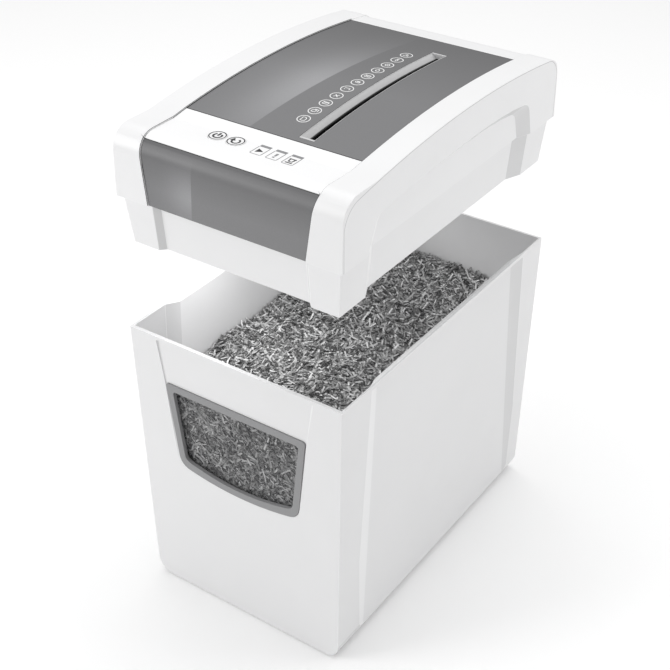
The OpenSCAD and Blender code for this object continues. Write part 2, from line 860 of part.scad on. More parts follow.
module main_drive_gear() {
    color("darkgray") at_head() difference() {
        gear(main_at, 1.5, 36, second_angle, layer_1, stub);
        rod_y(main_at, journal_r, 110, 150);
    }
}

module second_reduction_gear() {
    color("ivory") at_head() difference() {
        union() {
            gear(second_at, 1.5, 12, second_angle + 180 - 15, layer_1);
            gear(second_at, 1.25, 48, first_angle, layer_2, stub);
            rod_y(second_at, 7.5, plate_y + plate_t + 0.5, layer_2[0] + 1);
            rod_y(second_at, 5.6, layer_2[0], gear_plate_y - 0.5);
        }
        rod_y(second_at, axle_r + running_gap, 110, 170);
    }
}

module first_reduction_gear() {
    color("ivory") at_head() difference() {
        union() {
            gear(first_at, 1.25, 12, first_angle + 180 - 15, layer_2);
            gear(first_at, 1, 60, motor_angle, layer_3, stub);
            rod_y(first_at, 6.2, plate_y + plate_t + 0.5, layer_2[0] + 1);
            rod_y(first_at, 5.9, layer_2[1] - 1, gear_plate_y - 0.5);
        }
        rod_y(first_at, axle_r + running_gap, 110, 170);
    }
}

module gear_axles() {
    color("silver") at_head() for (p = [first_at, second_at])
        rod_y(p, axle_r, plate_y, gear_plate_y + 2);
}

module gear_plate() {
    color("lightsteelblue") at_head() difference() {
        along_y(gear_plate_y, gear_plate_y + 2)
            polygon([[-74, -34], [-74, 42], [32, 56], [38, -32]]);
        for (p = [first_at, second_at])
            rod_y(p, axle_r, 150, 170);
    }
}

module gear_plate_spacers() {
    color("silver") at_head() for (p = spacers)
        rod_y(p, 4, plate_y + plate_t, gear_plate_y);
}

// ---------- motor ----------

module motor_can() {
    color("gray") at_head() difference() {
        rod_y(motor_at, motor_r, motor_front, motor_rear - 6);
        rod_y(motor_at, motor_r - 3, motor_front + 3, motor_rear - 5);
        rod_y(motor_at, 8, motor_front - 1, motor_front + 4);
        for (a = [0:60:300])
            rod_y(motor_at + 18 * [cos(a), sin(a)], 3.5, motor_front - 1, motor_front + 4);
    }
}

module motor_end_bell() {
    color("silver") at_head() difference() {
        union() {
            rod_y(motor_at, motor_r, motor_rear - 6, motor_rear);
            rod_y(motor_at, 9, motor_rear - 1, motor_rear + plate_t + 1);
        }
        rod_y(motor_at, motor_r - 4, motor_rear - 7, motor_rear - 3);
        rod_y(motor_at, 7, motor_rear - 4, motor_rear + 6);
    }
}

module motor_bushes() {
    color("peru") at_head() {
        difference() {
            rod_y(motor_at, 8, motor_front, motor_front + 3);
            rod_y(motor_at, motor_shaft_r + running_gap, motor_front - 1, motor_front + 4);
        }
        difference() {
            rod_y(motor_at, 7, motor_rear - 3, motor_rear + plate_t + 1);
            rod_y(motor_at, motor_shaft_r + running_gap, motor_rear - 4, motor_rear + 6);
        }
    }
}

module motor_rotor() {
    color("sienna") at_head() {
        rod_y(motor_at, motor_shaft_r, 4, layer_3[1] + 1);
        difference() {
            rod_y(motor_at, 21, 46, 94);
            for (a = [0:45:315])
                rod_y(motor_at + 18 * [cos(a), sin(a)], 2, 40, 100);
        }
        rod_y(motor_at, 9, 30, 40);
    }
}

module motor_pinion() {
    color("goldenrod") at_head() difference() {
        gear(motor_at, 1, 12, motor_angle + 180 - 15, layer_3);
        rod_y(motor_at, motor_shaft_r, 140, 160);
    }
}

module motor_fan() {
    color("ivory") at_head() difference() {
        union() {
            rod_y(motor_at, 7, 6, 18);
            rod_y(motor_at, 24, 16.4, 18);
            for (a = [0:45:315])
                translate([motor_at[0], 0, motor_at[1]]) rotate([0, a, 0])
                    box([6, 8, -0.8], [24, 17, 0.8]);
        }
        rod_y(motor_at, motor_shaft_r, 0, 20);
    }
}

module motor_screws() {
    color("dimgray") at_head() for (a = [45, 225]) {
        p = motor_at + 20 * [cos(a), sin(a)];
        rod_y(p, 1.9, motor_rear, motor_rear + plate_t);
        rod_y(p, 3.4, motor_rear + plate_t, motor_rear + plate_t + 2);
    }
}

module thermal_cutout() {
    color("black") at_head()
        box([motor_at[0] - 7, 50, motor_at[1] + motor_r], [motor_at[0] + 7, 66, motor_at[1] + 35]);
}

// ---------- paper sensor, interlock and cord gland ----------

module paper_sensor_lever() {
    color("black") at_head() difference() {
        union() {
            rod_y(sensor_at, 3.4, -1.8, 1.8);
            along_y(-1.8, 1.8) polygon([[33.2, 46.2], [34, 48.2], [48, 48.8], [56, 47.8],
                [56, 45.6], [48, 45]]);
        }
        rod_y(sensor_at, 1.5 + running_gap, -10, 10);
    }
}

module paper_sensor_pin() {
    color("silver") at_head() rod_y(sensor_at, 1.5, -7, 7);
}

module paper_sensor_bracket() {
    right = slot_x + slot_w / 2 + 4.8;
    color("dimgray") at_head() difference() {
        box([right, -7, 41], [53, 7, 54]);
        box([right - 1, -3, 30], [60, 3, 60]);
        rod_y(sensor_at, 1.5, -10, 10);
    }
}

module paper_sensor_switch() {
    color("black") at_head() box([58, -6, 42], [68, 6, 56]);
}

module interlock_plunger() {
    color("orange") at_head() translate([interlock_at[0], interlock_at[1], 0]) {
        translate([0, 0, -skirt_h - 4]) cylinder(r = 3, h = 20);
        translate([0, 0, -skirt_h + 10.4]) cylinder(r = 4.6, h = 1.6);
    }
}

module interlock_switch() {
    top = -skirt_h + 16 + interlock_stroke + 0.8;
    color("black") at_head()
        box([interlock_at[0] - 5, interlock_at[1] - 10, top],
            [interlock_at[0] + 5, interlock_at[1] + 6, top + 16]);
}

module cord_gland() {
    color("black") at_head() difference() {
        union() {
            rod_y(gland_at, 6.9, 182, 191.4);
            rod_y(gland_at, 9, 183, 187);
        }
        rod_y(gland_at, 3.6, 170, 200);
    }
}

bin_tub();
window_bezel();
window_pane();
shred_heap();
top_cover();
top_panel();
front_panel();
control_panel();
feed_throat();
lower_housing();
power_button();
reverse_button();
indicator_light_pipes();
control_board();
push_switches();
indicator_leds();
board_capacitor();
board_relay();
board_transformer();
front_frame_plate();
rear_frame_plate();
frame_tie_rods();
frame_dampers();
frame_screws();
housing_screws();
left_cutter();
right_cutter();
left_cutter_gear();
right_cutter_gear();
main_drive_gear();
second_reduction_gear();
first_reduction_gear();
gear_axles();
gear_plate();
gear_plate_spacers();
shaft_bushes();
left_stripper_comb();
right_stripper_comb();
motor_can();
motor_end_bell();
motor_bushes();
motor_rotor();
motor_pinion();
motor_fan();
motor_screws();
thermal_cutout();
paper_sensor_lever();
paper_sensor_pin();
paper_sensor_bracket();
paper_sensor_switch();
interlock_plunger();
interlock_switch();
cord_gland();
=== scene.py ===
"""Looks of a paper shredder: an open bin of shredded paper with its cutting head raised above it.

Lengths are in metres in the shared frame: +X right, +Y back, +Z up, origin in the middle of the
bin's base. Sizes given in millimetres carry MM.
"""

import logging
import math
from dataclasses import dataclass, field
from enum import Enum
from typing import Callable, Iterable, Mapping, Optional, Sequence, Union

import bmesh
import bpy
from mathutils import Matrix, Vector, noise


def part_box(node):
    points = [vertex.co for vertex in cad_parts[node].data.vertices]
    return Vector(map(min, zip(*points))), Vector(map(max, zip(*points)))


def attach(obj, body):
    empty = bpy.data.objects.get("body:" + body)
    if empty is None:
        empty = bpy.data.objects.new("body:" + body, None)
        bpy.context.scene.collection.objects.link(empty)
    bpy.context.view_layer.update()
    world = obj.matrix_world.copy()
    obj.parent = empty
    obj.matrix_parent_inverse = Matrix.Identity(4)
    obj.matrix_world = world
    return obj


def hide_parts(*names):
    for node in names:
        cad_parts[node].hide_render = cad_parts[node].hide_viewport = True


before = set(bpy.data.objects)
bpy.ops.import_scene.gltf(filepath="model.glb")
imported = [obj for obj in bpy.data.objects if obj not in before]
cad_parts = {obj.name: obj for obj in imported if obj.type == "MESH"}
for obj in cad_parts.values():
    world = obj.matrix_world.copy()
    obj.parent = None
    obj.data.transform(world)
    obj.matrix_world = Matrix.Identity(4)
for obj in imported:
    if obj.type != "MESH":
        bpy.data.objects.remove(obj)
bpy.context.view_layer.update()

MM = 0.001
HEAD_Z = 468 * MM

logging.basicConfig(level=logging.INFO, format="%(message)s")
log = logging.getLogger("shredder")

RGB = tuple[float, float, float]
Point2 = tuple[float, float]


# ---------- node trees ----------


class Signal:
    """An output socket with the operators of arithmetic, so that node maths reads as Python."""

    def __init__(self, tree: bpy.types.NodeTree, socket: bpy.types.NodeSocket) -> None:
        """Wraps a socket.

        Args:
            tree: The tree that the socket's node is in.
            socket: The output socket.
        """
        self.tree = tree
        self.socket = socket

    def _math(self, operation: str, first: "Number", *rest: "Number") -> "Signal":
        """Adds a Math node.

        Args:
            operation: The Math node's operation.
            first: Its first value.
            rest: Its other values.

        Returns:
            The node's result.
        """
        node = self.tree.nodes.new("ShaderNodeMath")
        node.operation = operation
        for slot, value in zip(node.inputs, (first, *rest)):
            if isinstance(value, Signal):
                self.tree.links.new(value.socket, slot)
            else:
                slot.default_value = value
        return Signal(self.tree, node.outputs[0])

    def __add__(self, other: "Number") -> "Signal":
        """Sum."""
        return self._math("ADD", self, other)

    __radd__ = __add__

    def __sub__(self, other: "Number") -> "Signal":
        """Difference."""
        return self._math("SUBTRACT", self, other)

    def __rsub__(self, other: "Number") -> "Signal":
        """Difference, taken from a number."""
        return self._math("SUBTRACT", other, self)

    def __mul__(self, other: "Number") -> "Signal":
        """Product."""
        return self._math("MULTIPLY", self, other)

    __rmul__ = __mul__

    def __truediv__(self, other: "Number") -> "Signal":
        """Quotient."""
        return self._math("DIVIDE", self, other)

    def __pow__(self, other: "Number") -> "Signal":
        """Power."""
        return self._math("POWER", self, other)

    def __neg__(self) -> "Signal":
        """Negative."""
        return self._math("MULTIPLY", self, -1.0)

    def __gt__(self, other: "Number") -> "Signal":
        """One where this is the larger, else nought."""
        return self._math("GREATER_THAN", self, other)

    def __abs__(self) -> "Signal":
        """Size without the sign."""
        return self._math("ABSOLUTE", self)

    def root(self) -> "Signal":
        """Square root."""
        return self._math("SQRT", self)

    def exp(self) -> "Signal":
        """Exponential."""
        return self._math("EXPONENT", self)

    def wave(self) -> "Signal":
        """Sine, of radians."""
        return self._math("SINE", self)

    def limited(self, low: float = 0.0, high: float = 1.0) -> "Signal":
        """Keeps the value between two bounds.

        Args:
            low: Lower bound.
            high: Upper bound.

        Returns:
            The bounded value.
        """
        return self._math("MINIMUM", self._math("MAXIMUM", self, low), high)

    def hill(self, centre: float, width: float) -> "Signal":
        """A bell curve of this value.

        Args:
            centre: Where the curve is one.
            width: Distance at which it has fallen to about a third.

        Returns:
            The curve's value.
        """
        distance = (self - centre) / width
        return (-(distance * distance)).exp()

    def step(self, edge: float, blur: float) -> "Signal":
        """Goes from nought to one as this passes an edge.

        Args:
            edge: The value at the middle of the change.
            blur: How far the change spreads.

        Returns:
            The mask.
        """
        return ((self - edge) / blur + 0.5).limited()


Number = Union[Signal, float]
Value = Union[Signal, float, int, bool, tuple, str, bpy.types.ID]


class Graph:
    """A node tree being written. One method makes every kind of node."""

    def __init__(self, tree: bpy.types.NodeTree) -> None:
        """Starts on an empty tree.

        Args:
            tree: The tree to write in. Its nodes are removed.
        """
        self.tree = tree
        tree.nodes.clear()

    def add(self, kind: str, settings: Optional[Mapping[str, object]] = None,
            inputs: Optional[Mapping[Union[int, str], Value]] = None) -> bpy.types.Node:
        """Adds a node.

        Args:
            kind: The node's type.
            settings: Its properties. "stops" fills a colour ramp.
            inputs: Values or links by the socket's name or number.

        Returns:
            The node.
        """
        node = self.tree.nodes.new(kind)
        for name, value in (settings or {}).items():
            if name == "stops":
                self._fill_ramp(node.color_ramp, value)
            else:
                setattr(node, name, value)
        for key, value in (inputs or {}).items():
            if isinstance(value, Signal):
                self.tree.links.new(value.socket, node.inputs[key])
            else:
                node.inputs[key].default_value = value
        return node

    @staticmethod
    def _fill_ramp(ramp: bpy.types.ColorRamp, stops: Sequence[tuple[float, RGB]]) -> None:
        """Writes a ramp's stops.

        Args:
            ramp: The ramp.
            stops: Positions and colours, in order.
        """
        while len(ramp.elements) < len(stops):
            ramp.elements.new(1.0)
        for element, (place, colour) in zip(ramp.elements, stops):
            element.position = place
            element.color = (*colour, 1.0)

    def out(self, kind: str, settings: Optional[Mapping[str, object]] = None,
            inputs: Optional[Mapping[Union[int, str], Value]] = None,
            socket: Union[int, str] = 0) -> Signal:
        """Adds a node and takes one of its outputs.

        Args:
            kind: The node's type.
            settings: Its properties.
            inputs: Values or links.
            socket: Name or number of the output.

        Returns:
            The output.
        """
        return Signal(self.tree, self.add(kind, settings, inputs).outputs[socket])

    def blend(self, mask: Number, low: Value, high: Value) -> Signal:
        """Mixes two colours.

        Args:
            mask: Nought gives low and one gives high.
            low: First colour.
            high: Second colour.

        Returns:
            The mixed colour.
        """
        def four(value: Value) -> Value:
            """A colour with its alpha, or the link as it is."""
            return value if isinstance(value, Signal) else (*value, 1.0)

        return self.out("ShaderNodeMix", {"data_type": "RGBA"},
                        {0: mask, 6: four(low), 7: four(high)}, 2)

    def scaled(self, colour: Value, factor: Signal) -> Signal:
        """A colour made lighter or darker by a factor.

        Args:
            colour: The colour.
            factor: What it is multiplied by.

        Returns:
            The new colour.
        """
        first = colour if isinstance(colour, Signal) else tuple(colour)
        return self.out("ShaderNodeVectorMath", {"operation": "SCALE"},
                        {0: first, "Scale": factor})


# ---------- finishes ----------


class Axis(Enum):
    """A direction in the shared frame, by its place in a vector."""

    X = 0
    Y = 1
    Z = 2


@dataclass(frozen=True)
class Finish:
    """What every finish has: a name, and a base colour and roughness to vary about."""

    name: str
    colour: RGB
    roughness: float

    def paint(self, graph: Graph, place: Signal) -> dict[str, Value]:
        """Works out the surface. Each finish has its own.

        Args:
            graph: The material's tree.
            place: Object coordinates.

        Returns:
            Values for the surface shader's sockets.
        """
        raise NotImplementedError

    def material(self) -> bpy.types.Material:
        """The finish's material, made once."""
        made = bpy.data.materials.get(self.name)
        if made:
            return made
        made = bpy.data.materials.new(self.name)
        made.use_nodes = True
        graph = Graph(made.node_tree)
        place = graph.out("ShaderNodeTexCoord", socket="Object")
        values = {"Base Color": (*self.colour, 1.0), "Roughness": self.roughness}
        values.update(self.paint(graph, place))
        shader = graph.out("ShaderNodeBsdfPrincipled", None, values)
        graph.add("ShaderNodeOutputMaterial", None, {"Surface": shader})
        return made

    @staticmethod
    def read(graph: Graph, attribute: str) -> Signal:
        """The value of a mesh attribute."""
        return graph.out("ShaderNodeAttribute", {"attribute_name": attribute}, None, "Fac")

    @staticmethod
    def speckle(graph: Graph, place: Signal, size: float, detail: float = 2.0) -> Signal:
        """Fine noise.

        Args:
            graph: The material's tree.
            place: Coordinates.
            size: Size of one spot, in metres.
            detail: How many finer layers it has.

        Returns:
            Noise from nought to one.
        """
        return graph.out("ShaderNodeTexNoise", {"noise_dimensions": "3D"},
                         {"Vector": place, "Scale": 1.0 / size, "Detail": detail}, "Fac")

    @staticmethod
    def relief(graph: Graph, height: Signal, depth: float, strength: float = 1.0) -> Signal:
        """Turns a height into a normal.

        Args:
            graph: The material's tree.
            height: The height, from nought to one.
            depth: What one means, in metres.
            strength: Share of the effect.

        Returns:
            The normal.
        """
        return graph.out("ShaderNodeBump", None,
                         {"Height": height, "Distance": depth, "Strength": strength}, "Normal")


@dataclass(frozen=True)
class MouldedPlastic(Finish):
    """Moulded plastic with a fine spark-eroded grain and a faint cloudiness."""

    grain: float = 0.5 * MM
    depth: float = 0.012 * MM
    cloud: float = 0.015
    sheen_patch: float = 0.05
    coat: float = 0.0
    # Amounts of painted light and shade: the first darkens hollows' walls facing front or right
    # (painted shade) and lightens those turning away (painted highlight); the second lightens the
    # rounded edges (painted highlight).
    painted_slope_shade: float = 0.0
    painted_edge_highlight: float = 0.0

    def paint(self, graph: Graph, place: Signal) -> dict[str, Value]:
        """Colour, roughness and grain."""
        cloud = self.speckle(graph, place, 45 * MM)
        grain = self.speckle(graph, place, self.grain, 3.0)
        shade = 1.0 + (cloud - 0.5) * (2 * self.cloud) + (grain - 0.5) * self.cloud
        # Painted shade and highlight on the walls of hollows, by the way each wall faces.
        if self.painted_slope_shade:
            shade = shade - self.read(graph, "slope") * self.painted_slope_shade
        # Painted highlight on the rounded edges.
        if self.painted_edge_highlight:
            shade = shade + self.read(graph, "rim") * self.painted_edge_highlight
        return {"Base Color": graph.scaled(self.colour, shade),
                "Roughness": (self.roughness + (cloud - 0.5) * self.sheen_patch
                              + (grain - 0.5) * 0.06).limited(0.05, 1.0),
                "Coat Weight": self.coat, "Coat Roughness": 0.12,
                "Normal": self.relief(graph, grain, self.depth)}


@dataclass(frozen=True)
class ThroatPlastic(MouldedPlastic):
    """Pale plastic on the slot's lead-in, and painted shadow below it: deep in the slot the colour
    is black.
    """

    lead_in: float = 6.4 * MM
    crown_middle: float = 20 * MM
    crown_r: float = 1150 * MM
    crown_top: float = HEAD_Z + 77.5 * MM

    def paint(self, graph: Graph, place: Signal) -> dict[str, Value]:
        """The moulded surface, coloured black as painted shadow where it lies deep in the slot."""
        values = super().paint(graph, place)
        axes = graph.add("ShaderNodeSeparateXYZ", None, {0: place})
        y = Signal(graph.tree, axes.outputs[1]) - self.crown_middle
        z = Signal(graph.tree, axes.outputs[2]) - (self.crown_top - self.crown_r)
        # Painted shadow: deeper than the lead-in below the crown, the colour turns near black.
        deep = (self.crown_r - (y * y + z * z).root()).step(self.lead_in, 0.5 * MM)
        values["Base Color"] = graph.blend(deep, values["Base Color"], (0.008, 0.008, 0.008))
        return values


@dataclass(frozen=True)
class CoverPlastic(MouldedPlastic):
    """The cover's plastic, with shadow in the joints round its panels and along its side edges."""

    panel_edge: float = 99 * MM
    side: float = 125.3 * MM
    corner: float = 21 * MM
    front: float = -192 * MM
    rear: float = 191 * MM
    panel_rear: float = 150.4 * MM
    joint: RGB = (0.03, 0.03, 0.032)
    edge_tone: RGB = (0.34, 0.34, 0.345)

    def paint(self, graph: Graph, place: Signal) -> dict[str, Value]:
        """The moulded surface with its shadowed joints."""
        values = super().paint(graph, place)
        axes = graph.add("ShaderNodeSeparateXYZ", None, {0: place})
        x, y, z = (Signal(graph.tree, output) for output in axes.outputs)
        off, rise = y - 20 * MM, z - (HEAD_Z - 1072.5 * MM)
        above = (self.corner - (1150 * MM - (off * off + rise * rise).root())).limited(0.0, 1.0)
        beyond = self.corner - graph.out("ShaderNodeMath", {"operation": "MINIMUM"},
                                         {0: y - self.front, 1: self.rear - y})
        beyond = beyond.limited(0.0, 1.0)
        depth = self.corner - (above * above + beyond * beyond).root()
        inside = 1.0 - abs(x).step(self.panel_edge, 0.1 * MM)
        sunk = depth.step(1.0 * MM, 0.2 * MM) * (1.0 - depth.step(5.0 * MM, 0.2 * MM)) * inside
        line = depth.hill(0.9 * MM, 0.35 * MM) * abs(x).step(self.side, 0.3 * MM)
        sunk = sunk + self.read(graph, "rim") * inside * (1.0 - depth.step(2 * MM, 0.2 * MM))
        sunk = sunk.limited() * (z > HEAD_Z + 0.5 * MM) * (1.0 - (y > self.panel_rear))
        colour = graph.blend(line * 0.75, values["Base Color"], self.edge_tone)
        values["Base Color"] = graph.blend(sunk, colour, self.joint)
        return values


@dataclass(frozen=True)
class GraphicPanel(Finish):
    """Dark satin foil: a glowing field left of a line, and an even, darker one right of it."""

    glow: RGB = (0.42, 0.42, 0.43)
    field_colour: RGB = (0.16, 0.16, 0.165)
    along: Axis = Axis.Y
    line: tuple[float, float, float] = (0.0, 0.0, 0.0)
    glow_at: float = 0.0
    glow_length: float = 0.08
    glow_width: float = 0.04
    shade_from: float = 0.0
    shade_to: float = 1.0
    shade: float = 0.2
    # Painted shadow in the joints round the panel: a near-black colour, and the bounds along the
    # panel beyond which it is used.
    joint_shadow: RGB = (0.02, 0.02, 0.021)
    joint_shadow_from: float = -1.0
    joint_shadow_to: float = 1.0

    def paint(self, graph: Graph, place: Signal) -> dict[str, Value]:
        """Colour of the two fields and the painted joint shadow round the panel's edges, with a
        fine metallic speckle.
        """
        axes = graph.add("ShaderNodeSeparateXYZ", None, {0: place})
        x = Signal(graph.tree, axes.outputs[0])
        a = Signal(graph.tree, axes.outputs[self.along.value])
        base, slope, curve = self.line
        beyond = x - (base + a * slope + a * a * curve)
        right = beyond.step(0.0, 0.5 * MM)
        lit = beyond.hill(0.0, self.glow_width) * a.hill(self.glow_at, self.glow_length)
        spark = self.speckle(graph, place, 0.45 * MM, 1.0)
        span = self.shade_to - self.shade_from
        fade = 1.0 - ((a - self.shade_from) / span).limited() * self.shade
        left = graph.blend(lit.limited(), self.field_colour, self.glow)
        colour = graph.blend(right, left, self.colour)
        colour = graph.scaled(colour, fade * (1.0 + (spark - 0.5) * 0.34))
        # Painted shadow in the joints: the panel's rounded edges, and the panel beyond its bounds,
        # are coloured near black.
        edge = self.read(graph, "rim") + (a > self.joint_shadow_to) + (1.0 - (a > self.joint_shadow_from))
        return {"Base Color": graph.blend(edge.limited(), colour, self.joint_shadow),
                "Roughness": self.roughness + (spark - 0.5) * 0.2,
                "Normal": self.relief(graph, spark, 0.008 * MM)}


@dataclass(frozen=True)
class BrushedMetal(Finish):
    """Bare or plated metal with fine scratches along one direction."""

    lay: Axis = Axis.Y
    scratch: float = 0.25 * MM
    stain: float = 0.12
    metallic: float = 1.0

    def paint(self, graph: Graph, place: Signal) -> dict[str, Value]:
        """Scratches, and darker stains between them."""
        stretch = [1.0, 1.0, 1.0]
        stretch[self.lay.value] = 0.03
        drawn = graph.out("ShaderNodeMapping", None, {"Vector": place, "Scale": tuple(stretch)})
        scratches = self.speckle(graph, drawn, self.scratch, 3.0)
        stain = self.speckle(graph, place, 9 * MM)
        shade = 1.0 + (scratches - 0.5) * 0.18 + (stain - 0.5) * (2 * self.stain)
        return {"Base Color": graph.scaled(self.colour, shade), "Metallic": self.metallic,
                "Roughness": (self.roughness + (scratches - 0.5) * 0.25
                              + (stain - 0.5) * 0.2).limited(0.08, 1.0),
                "Normal": self.relief(graph, scratches, 0.01 * MM)}


@dataclass(frozen=True)
class OiledCutterSteel(Finish):
    """Hardened cutter steel: dark flanks, brighter ground rims and paper dust near the shaft."""

    axis: Point2 = (0.0, 0.0)
    rim: float = 19.5 * MM

    def paint(self, graph: Graph, place: Signal) -> dict[str, Value]:
        """Brightness by distance from the cutter's axis."""
        axes = graph.add("ShaderNodeSeparateXYZ", None, {0: place})
        x = Signal(graph.tree, axes.outputs[0]) - self.axis[0]
        z = Signal(graph.tree, axes.outputs[2]) - self.axis[1]
        radius = (x * x + z * z).root()
        ground = radius.step(self.rim - 2 * MM, 1.5 * MM)
        dust = (1.0 - radius.step(13 * MM, 8 * MM)) * self.speckle(graph, place, 2 * MM)
        oil = self.speckle(graph, place, 6 * MM)
        metal = graph.blend(ground, self.colour, (0.62, 0.62, 0.64))
        colour = graph.blend((dust * 0.7).limited(), metal, (0.6, 0.6, 0.58))
        return {"Base Color": colour, "Metallic": 1.0 - dust * 0.8,
                "Roughness": (self.roughness + (oil - 0.5) * 0.3 + dust * 0.4).limited(0.12, 1.0),
                "Normal": self.relief(graph, oil, 0.02 * MM)}


@dataclass(frozen=True)
class WoundRotor(Finish):
    """A motor's rotor: a dark laminated core in the middle and copper windings at its ends."""

    middle: float = 0.0
    core_half: float = 26 * MM

    def paint(self, graph: Graph, place: Signal) -> dict[str, Value]:
        """Laminations in the middle, and wires beyond it."""
        axes = graph.add("ShaderNodeSeparateXYZ", None, {0: place})
        y = Signal(graph.tree, axes.outputs[1])
        copper = abs(y - self.middle).step(self.core_half, 0.6 * MM)
        sheets = (y * (2 * math.pi / (0.7 * MM))).wave() * 0.5 + 0.5
        wires = self.speckle(graph, place, 0.8 * MM)
        steel = graph.blend(sheets, (0.10, 0.10, 0.11), self.colour)
        coil = graph.blend(wires, (0.45, 0.18, 0.07), (0.85, 0.42, 0.20))
        return {"Base Color": graph.blend(copper, steel, coil), "Metallic": 0.85,
                "Roughness": self.roughness + (wires - 0.5) * 0.2,
                "Normal": self.relief(graph, sheets * (1.0 - copper) + wires * copper, 0.05 * MM)}


@dataclass(frozen=True)
class CircuitLaminate(Finish):
    """Green circuit laminate with paler tracks under its mask."""

    track: RGB = (0.09, 0.32, 0.15)

    def paint(self, graph: Graph, place: Signal) -> dict[str, Value]:
        """Straight tracks from stepped cells."""
        cells = graph.out("ShaderNodeTexBrick", {"offset": 0.5},
                          {"Vector": place, "Scale": 110.0, "Mortar Size": 0.012,
                           "Color1": (0.0, 0.0, 0.0, 1.0), "Color2": (0.1, 0.1, 0.1, 1.0),
                           "Mortar": (1.0, 1.0, 1.0, 1.0)}, "Fac")
        grain = self.speckle(graph, place, 0.7 * MM)
        return {"Base Color": graph.blend(cells, self.colour, self.track),
                "Roughness": self.roughness + (grain - 0.5) * 0.1,
                "Normal": self.relief(graph, cells, 0.03 * MM)}


@dataclass(frozen=True)
class SmokedPane(Finish):
    """Thin smoked plastic that the paper behind it shows through."""

    opacity: float = 0.17

    def paint(self, graph: Graph, place: Signal) -> dict[str, Value]:
        """A faint waviness, and how much shows through."""
        wave = self.speckle(graph, place, 30 * MM)
        return {"Roughness": self.roughness + (wave - 0.5) * 0.05, "Alpha": self.opacity,
                "Normal": self.relief(graph, wave, 0.05 * MM)}


@dataclass(frozen=True)
class ShredStock(Finish):
    """Strips of printed office paper. Each strip has its own tone, kept as an attribute."""

    print_size: float = 1.6 * MM

    def paint(self, graph: Graph, place: Signal) -> dict[str, Value]:
        """Tone of the strip, with the remains of print on it."""
        tone = self.read(graph, "tone")
        paper = graph.out("ShaderNodeValToRGB", {"stops": (
            (0.0, (0.04, 0.04, 0.041)), (0.25, (0.17, 0.17, 0.17)), (0.55, (0.38, 0.38, 0.38)),
            (0.85, (0.66, 0.66, 0.66)), (1.0, self.colour))}, {0: tone})
        ink = self.speckle(graph, place, self.print_size, 1.0).step(0.66, 0.05)
        fibre = self.speckle(graph, place, 0.4 * MM)
        return {"Base Color": graph.blend(ink * 0.5, paper, (0.10, 0.10, 0.10)),
                "Roughness": self.roughness + (fibre - 0.5) * 0.1,
                "Normal": self.relief(graph, fibre, 0.02 * MM)}


@dataclass(frozen=True)
class PackedShreds(Finish):
    """Shreds packed below the loose ones: crumpled paper in dark grey with darker gaps, as painted
    shade deep in the pile.
    """

    def paint(self, graph: Graph, place: Signal) -> dict[str, Value]:
        """Cells that read as the ends of strips, darker towards their edges as painted shade in the
        gaps between them.
        """
        cells = graph.out("ShaderNodeTexVoronoi", {"feature": "F1"},
                          {"Vector": place, "Scale": 1.0 / (3.2 * MM)}, "Distance")
        crumple = self.speckle(graph, place, 2.4 * MM, 3.0)
        # Painted shade: the colour falls away from each cell's middle into the gaps.
        shade = (1.0 - cells * 0.9 + (crumple - 0.5) * 0.9).limited(0.25, 1.5)
        return {"Base Color": graph.scaled(self.colour, shade),
                "Roughness": self.roughness + (crumple - 0.5) * 0.1,
                "Normal": self.relief(graph, crumple, 1.2 * MM)}


@dataclass(frozen=True)
class PrintInk(Finish):
    """Printed ink, slightly uneven in tone."""

    def paint(self, graph: Graph, place: Signal) -> dict[str, Value]:
        """The ink's film."""
        film = self.speckle(graph, place, 0.3 * MM)
        return {"Base Color": graph.scaled(self.colour, 0.96 + film * 0.08),
                "Roughness": self.roughness + (film - 0.5) * 0.1}


@dataclass(frozen=True)
class StudioSweep(Finish):
    """The pale floor."""

    def paint(self, graph: Graph, place: Signal) -> dict[str, Value]:
        """A very faint unevenness."""
        haze = self.speckle(graph, place, 0.4)
        return {"Base Color": graph.scaled(self.colour, 0.995 + haze * 0.01),
                "Specular IOR Level": 0.1}


# The white plastics are painted darker or lighter by how their hollows' walls face (painted shade
# and highlights), and lighter on their rounded edges (painted highlights).
SHELL_WHITE = CoverPlastic("shell white plastic", (0.84, 0.84, 0.845), 0.34, painted_slope_shade=0.17,
                           painted_edge_highlight=0.04)
BIN_WHITE = MouldedPlastic("bin white plastic", (0.79, 0.79, 0.795), 0.42, depth=0.01 * MM,
                           painted_slope_shade=0.13, painted_edge_highlight=0.10)
SKIRT_WHITE = MouldedPlastic("skirt white plastic", (0.82, 0.82, 0.825), 0.38, painted_slope_shade=0.15,
                             painted_edge_highlight=0.10)
STRIP_WHITE = MouldedPlastic("control strip white plastic", (0.90, 0.90, 0.905), 0.30)
KEY_WHITE = MouldedPlastic("key white plastic", (0.88, 0.88, 0.885), 0.28, coat=0.2)
THROAT_GREY = ThroatPlastic("throat pale grey plastic", (0.60, 0.60, 0.605), 0.32)
FRAME_GREY = MouldedPlastic("window frame grey plastic", (0.27, 0.27, 0.275), 0.40)
LIGHT_PIPE = MouldedPlastic("light pipe grey plastic", (0.25, 0.25, 0.26), 0.25, coat=0.3)
BLACK_PLASTIC = MouldedPlastic("black moulded plastic", (0.025, 0.025, 0.027), 0.45)
NYLON = MouldedPlastic("natural nylon", (0.74, 0.71, 0.62), 0.38, cloud=0.05)
RUBBER = MouldedPlastic("black rubber", (0.02, 0.02, 0.021), 0.75, grain=1.2 * MM,
                        depth=0.04 * MM)
BLUE_CASE = MouldedPlastic("blue component case", (0.03, 0.07, 0.25), 0.25)
COIL_TAPE = MouldedPlastic("yellow coil tape", (0.65, 0.45, 0.05), 0.35, cloud=0.06)
LAMP_LENS = MouldedPlastic("lamp lens", (0.35, 0.60, 0.36), 0.12, coat=0.5)
PLUNGER_ORANGE = MouldedPlastic("orange acetal", (0.72, 0.22, 0.03), 0.33)
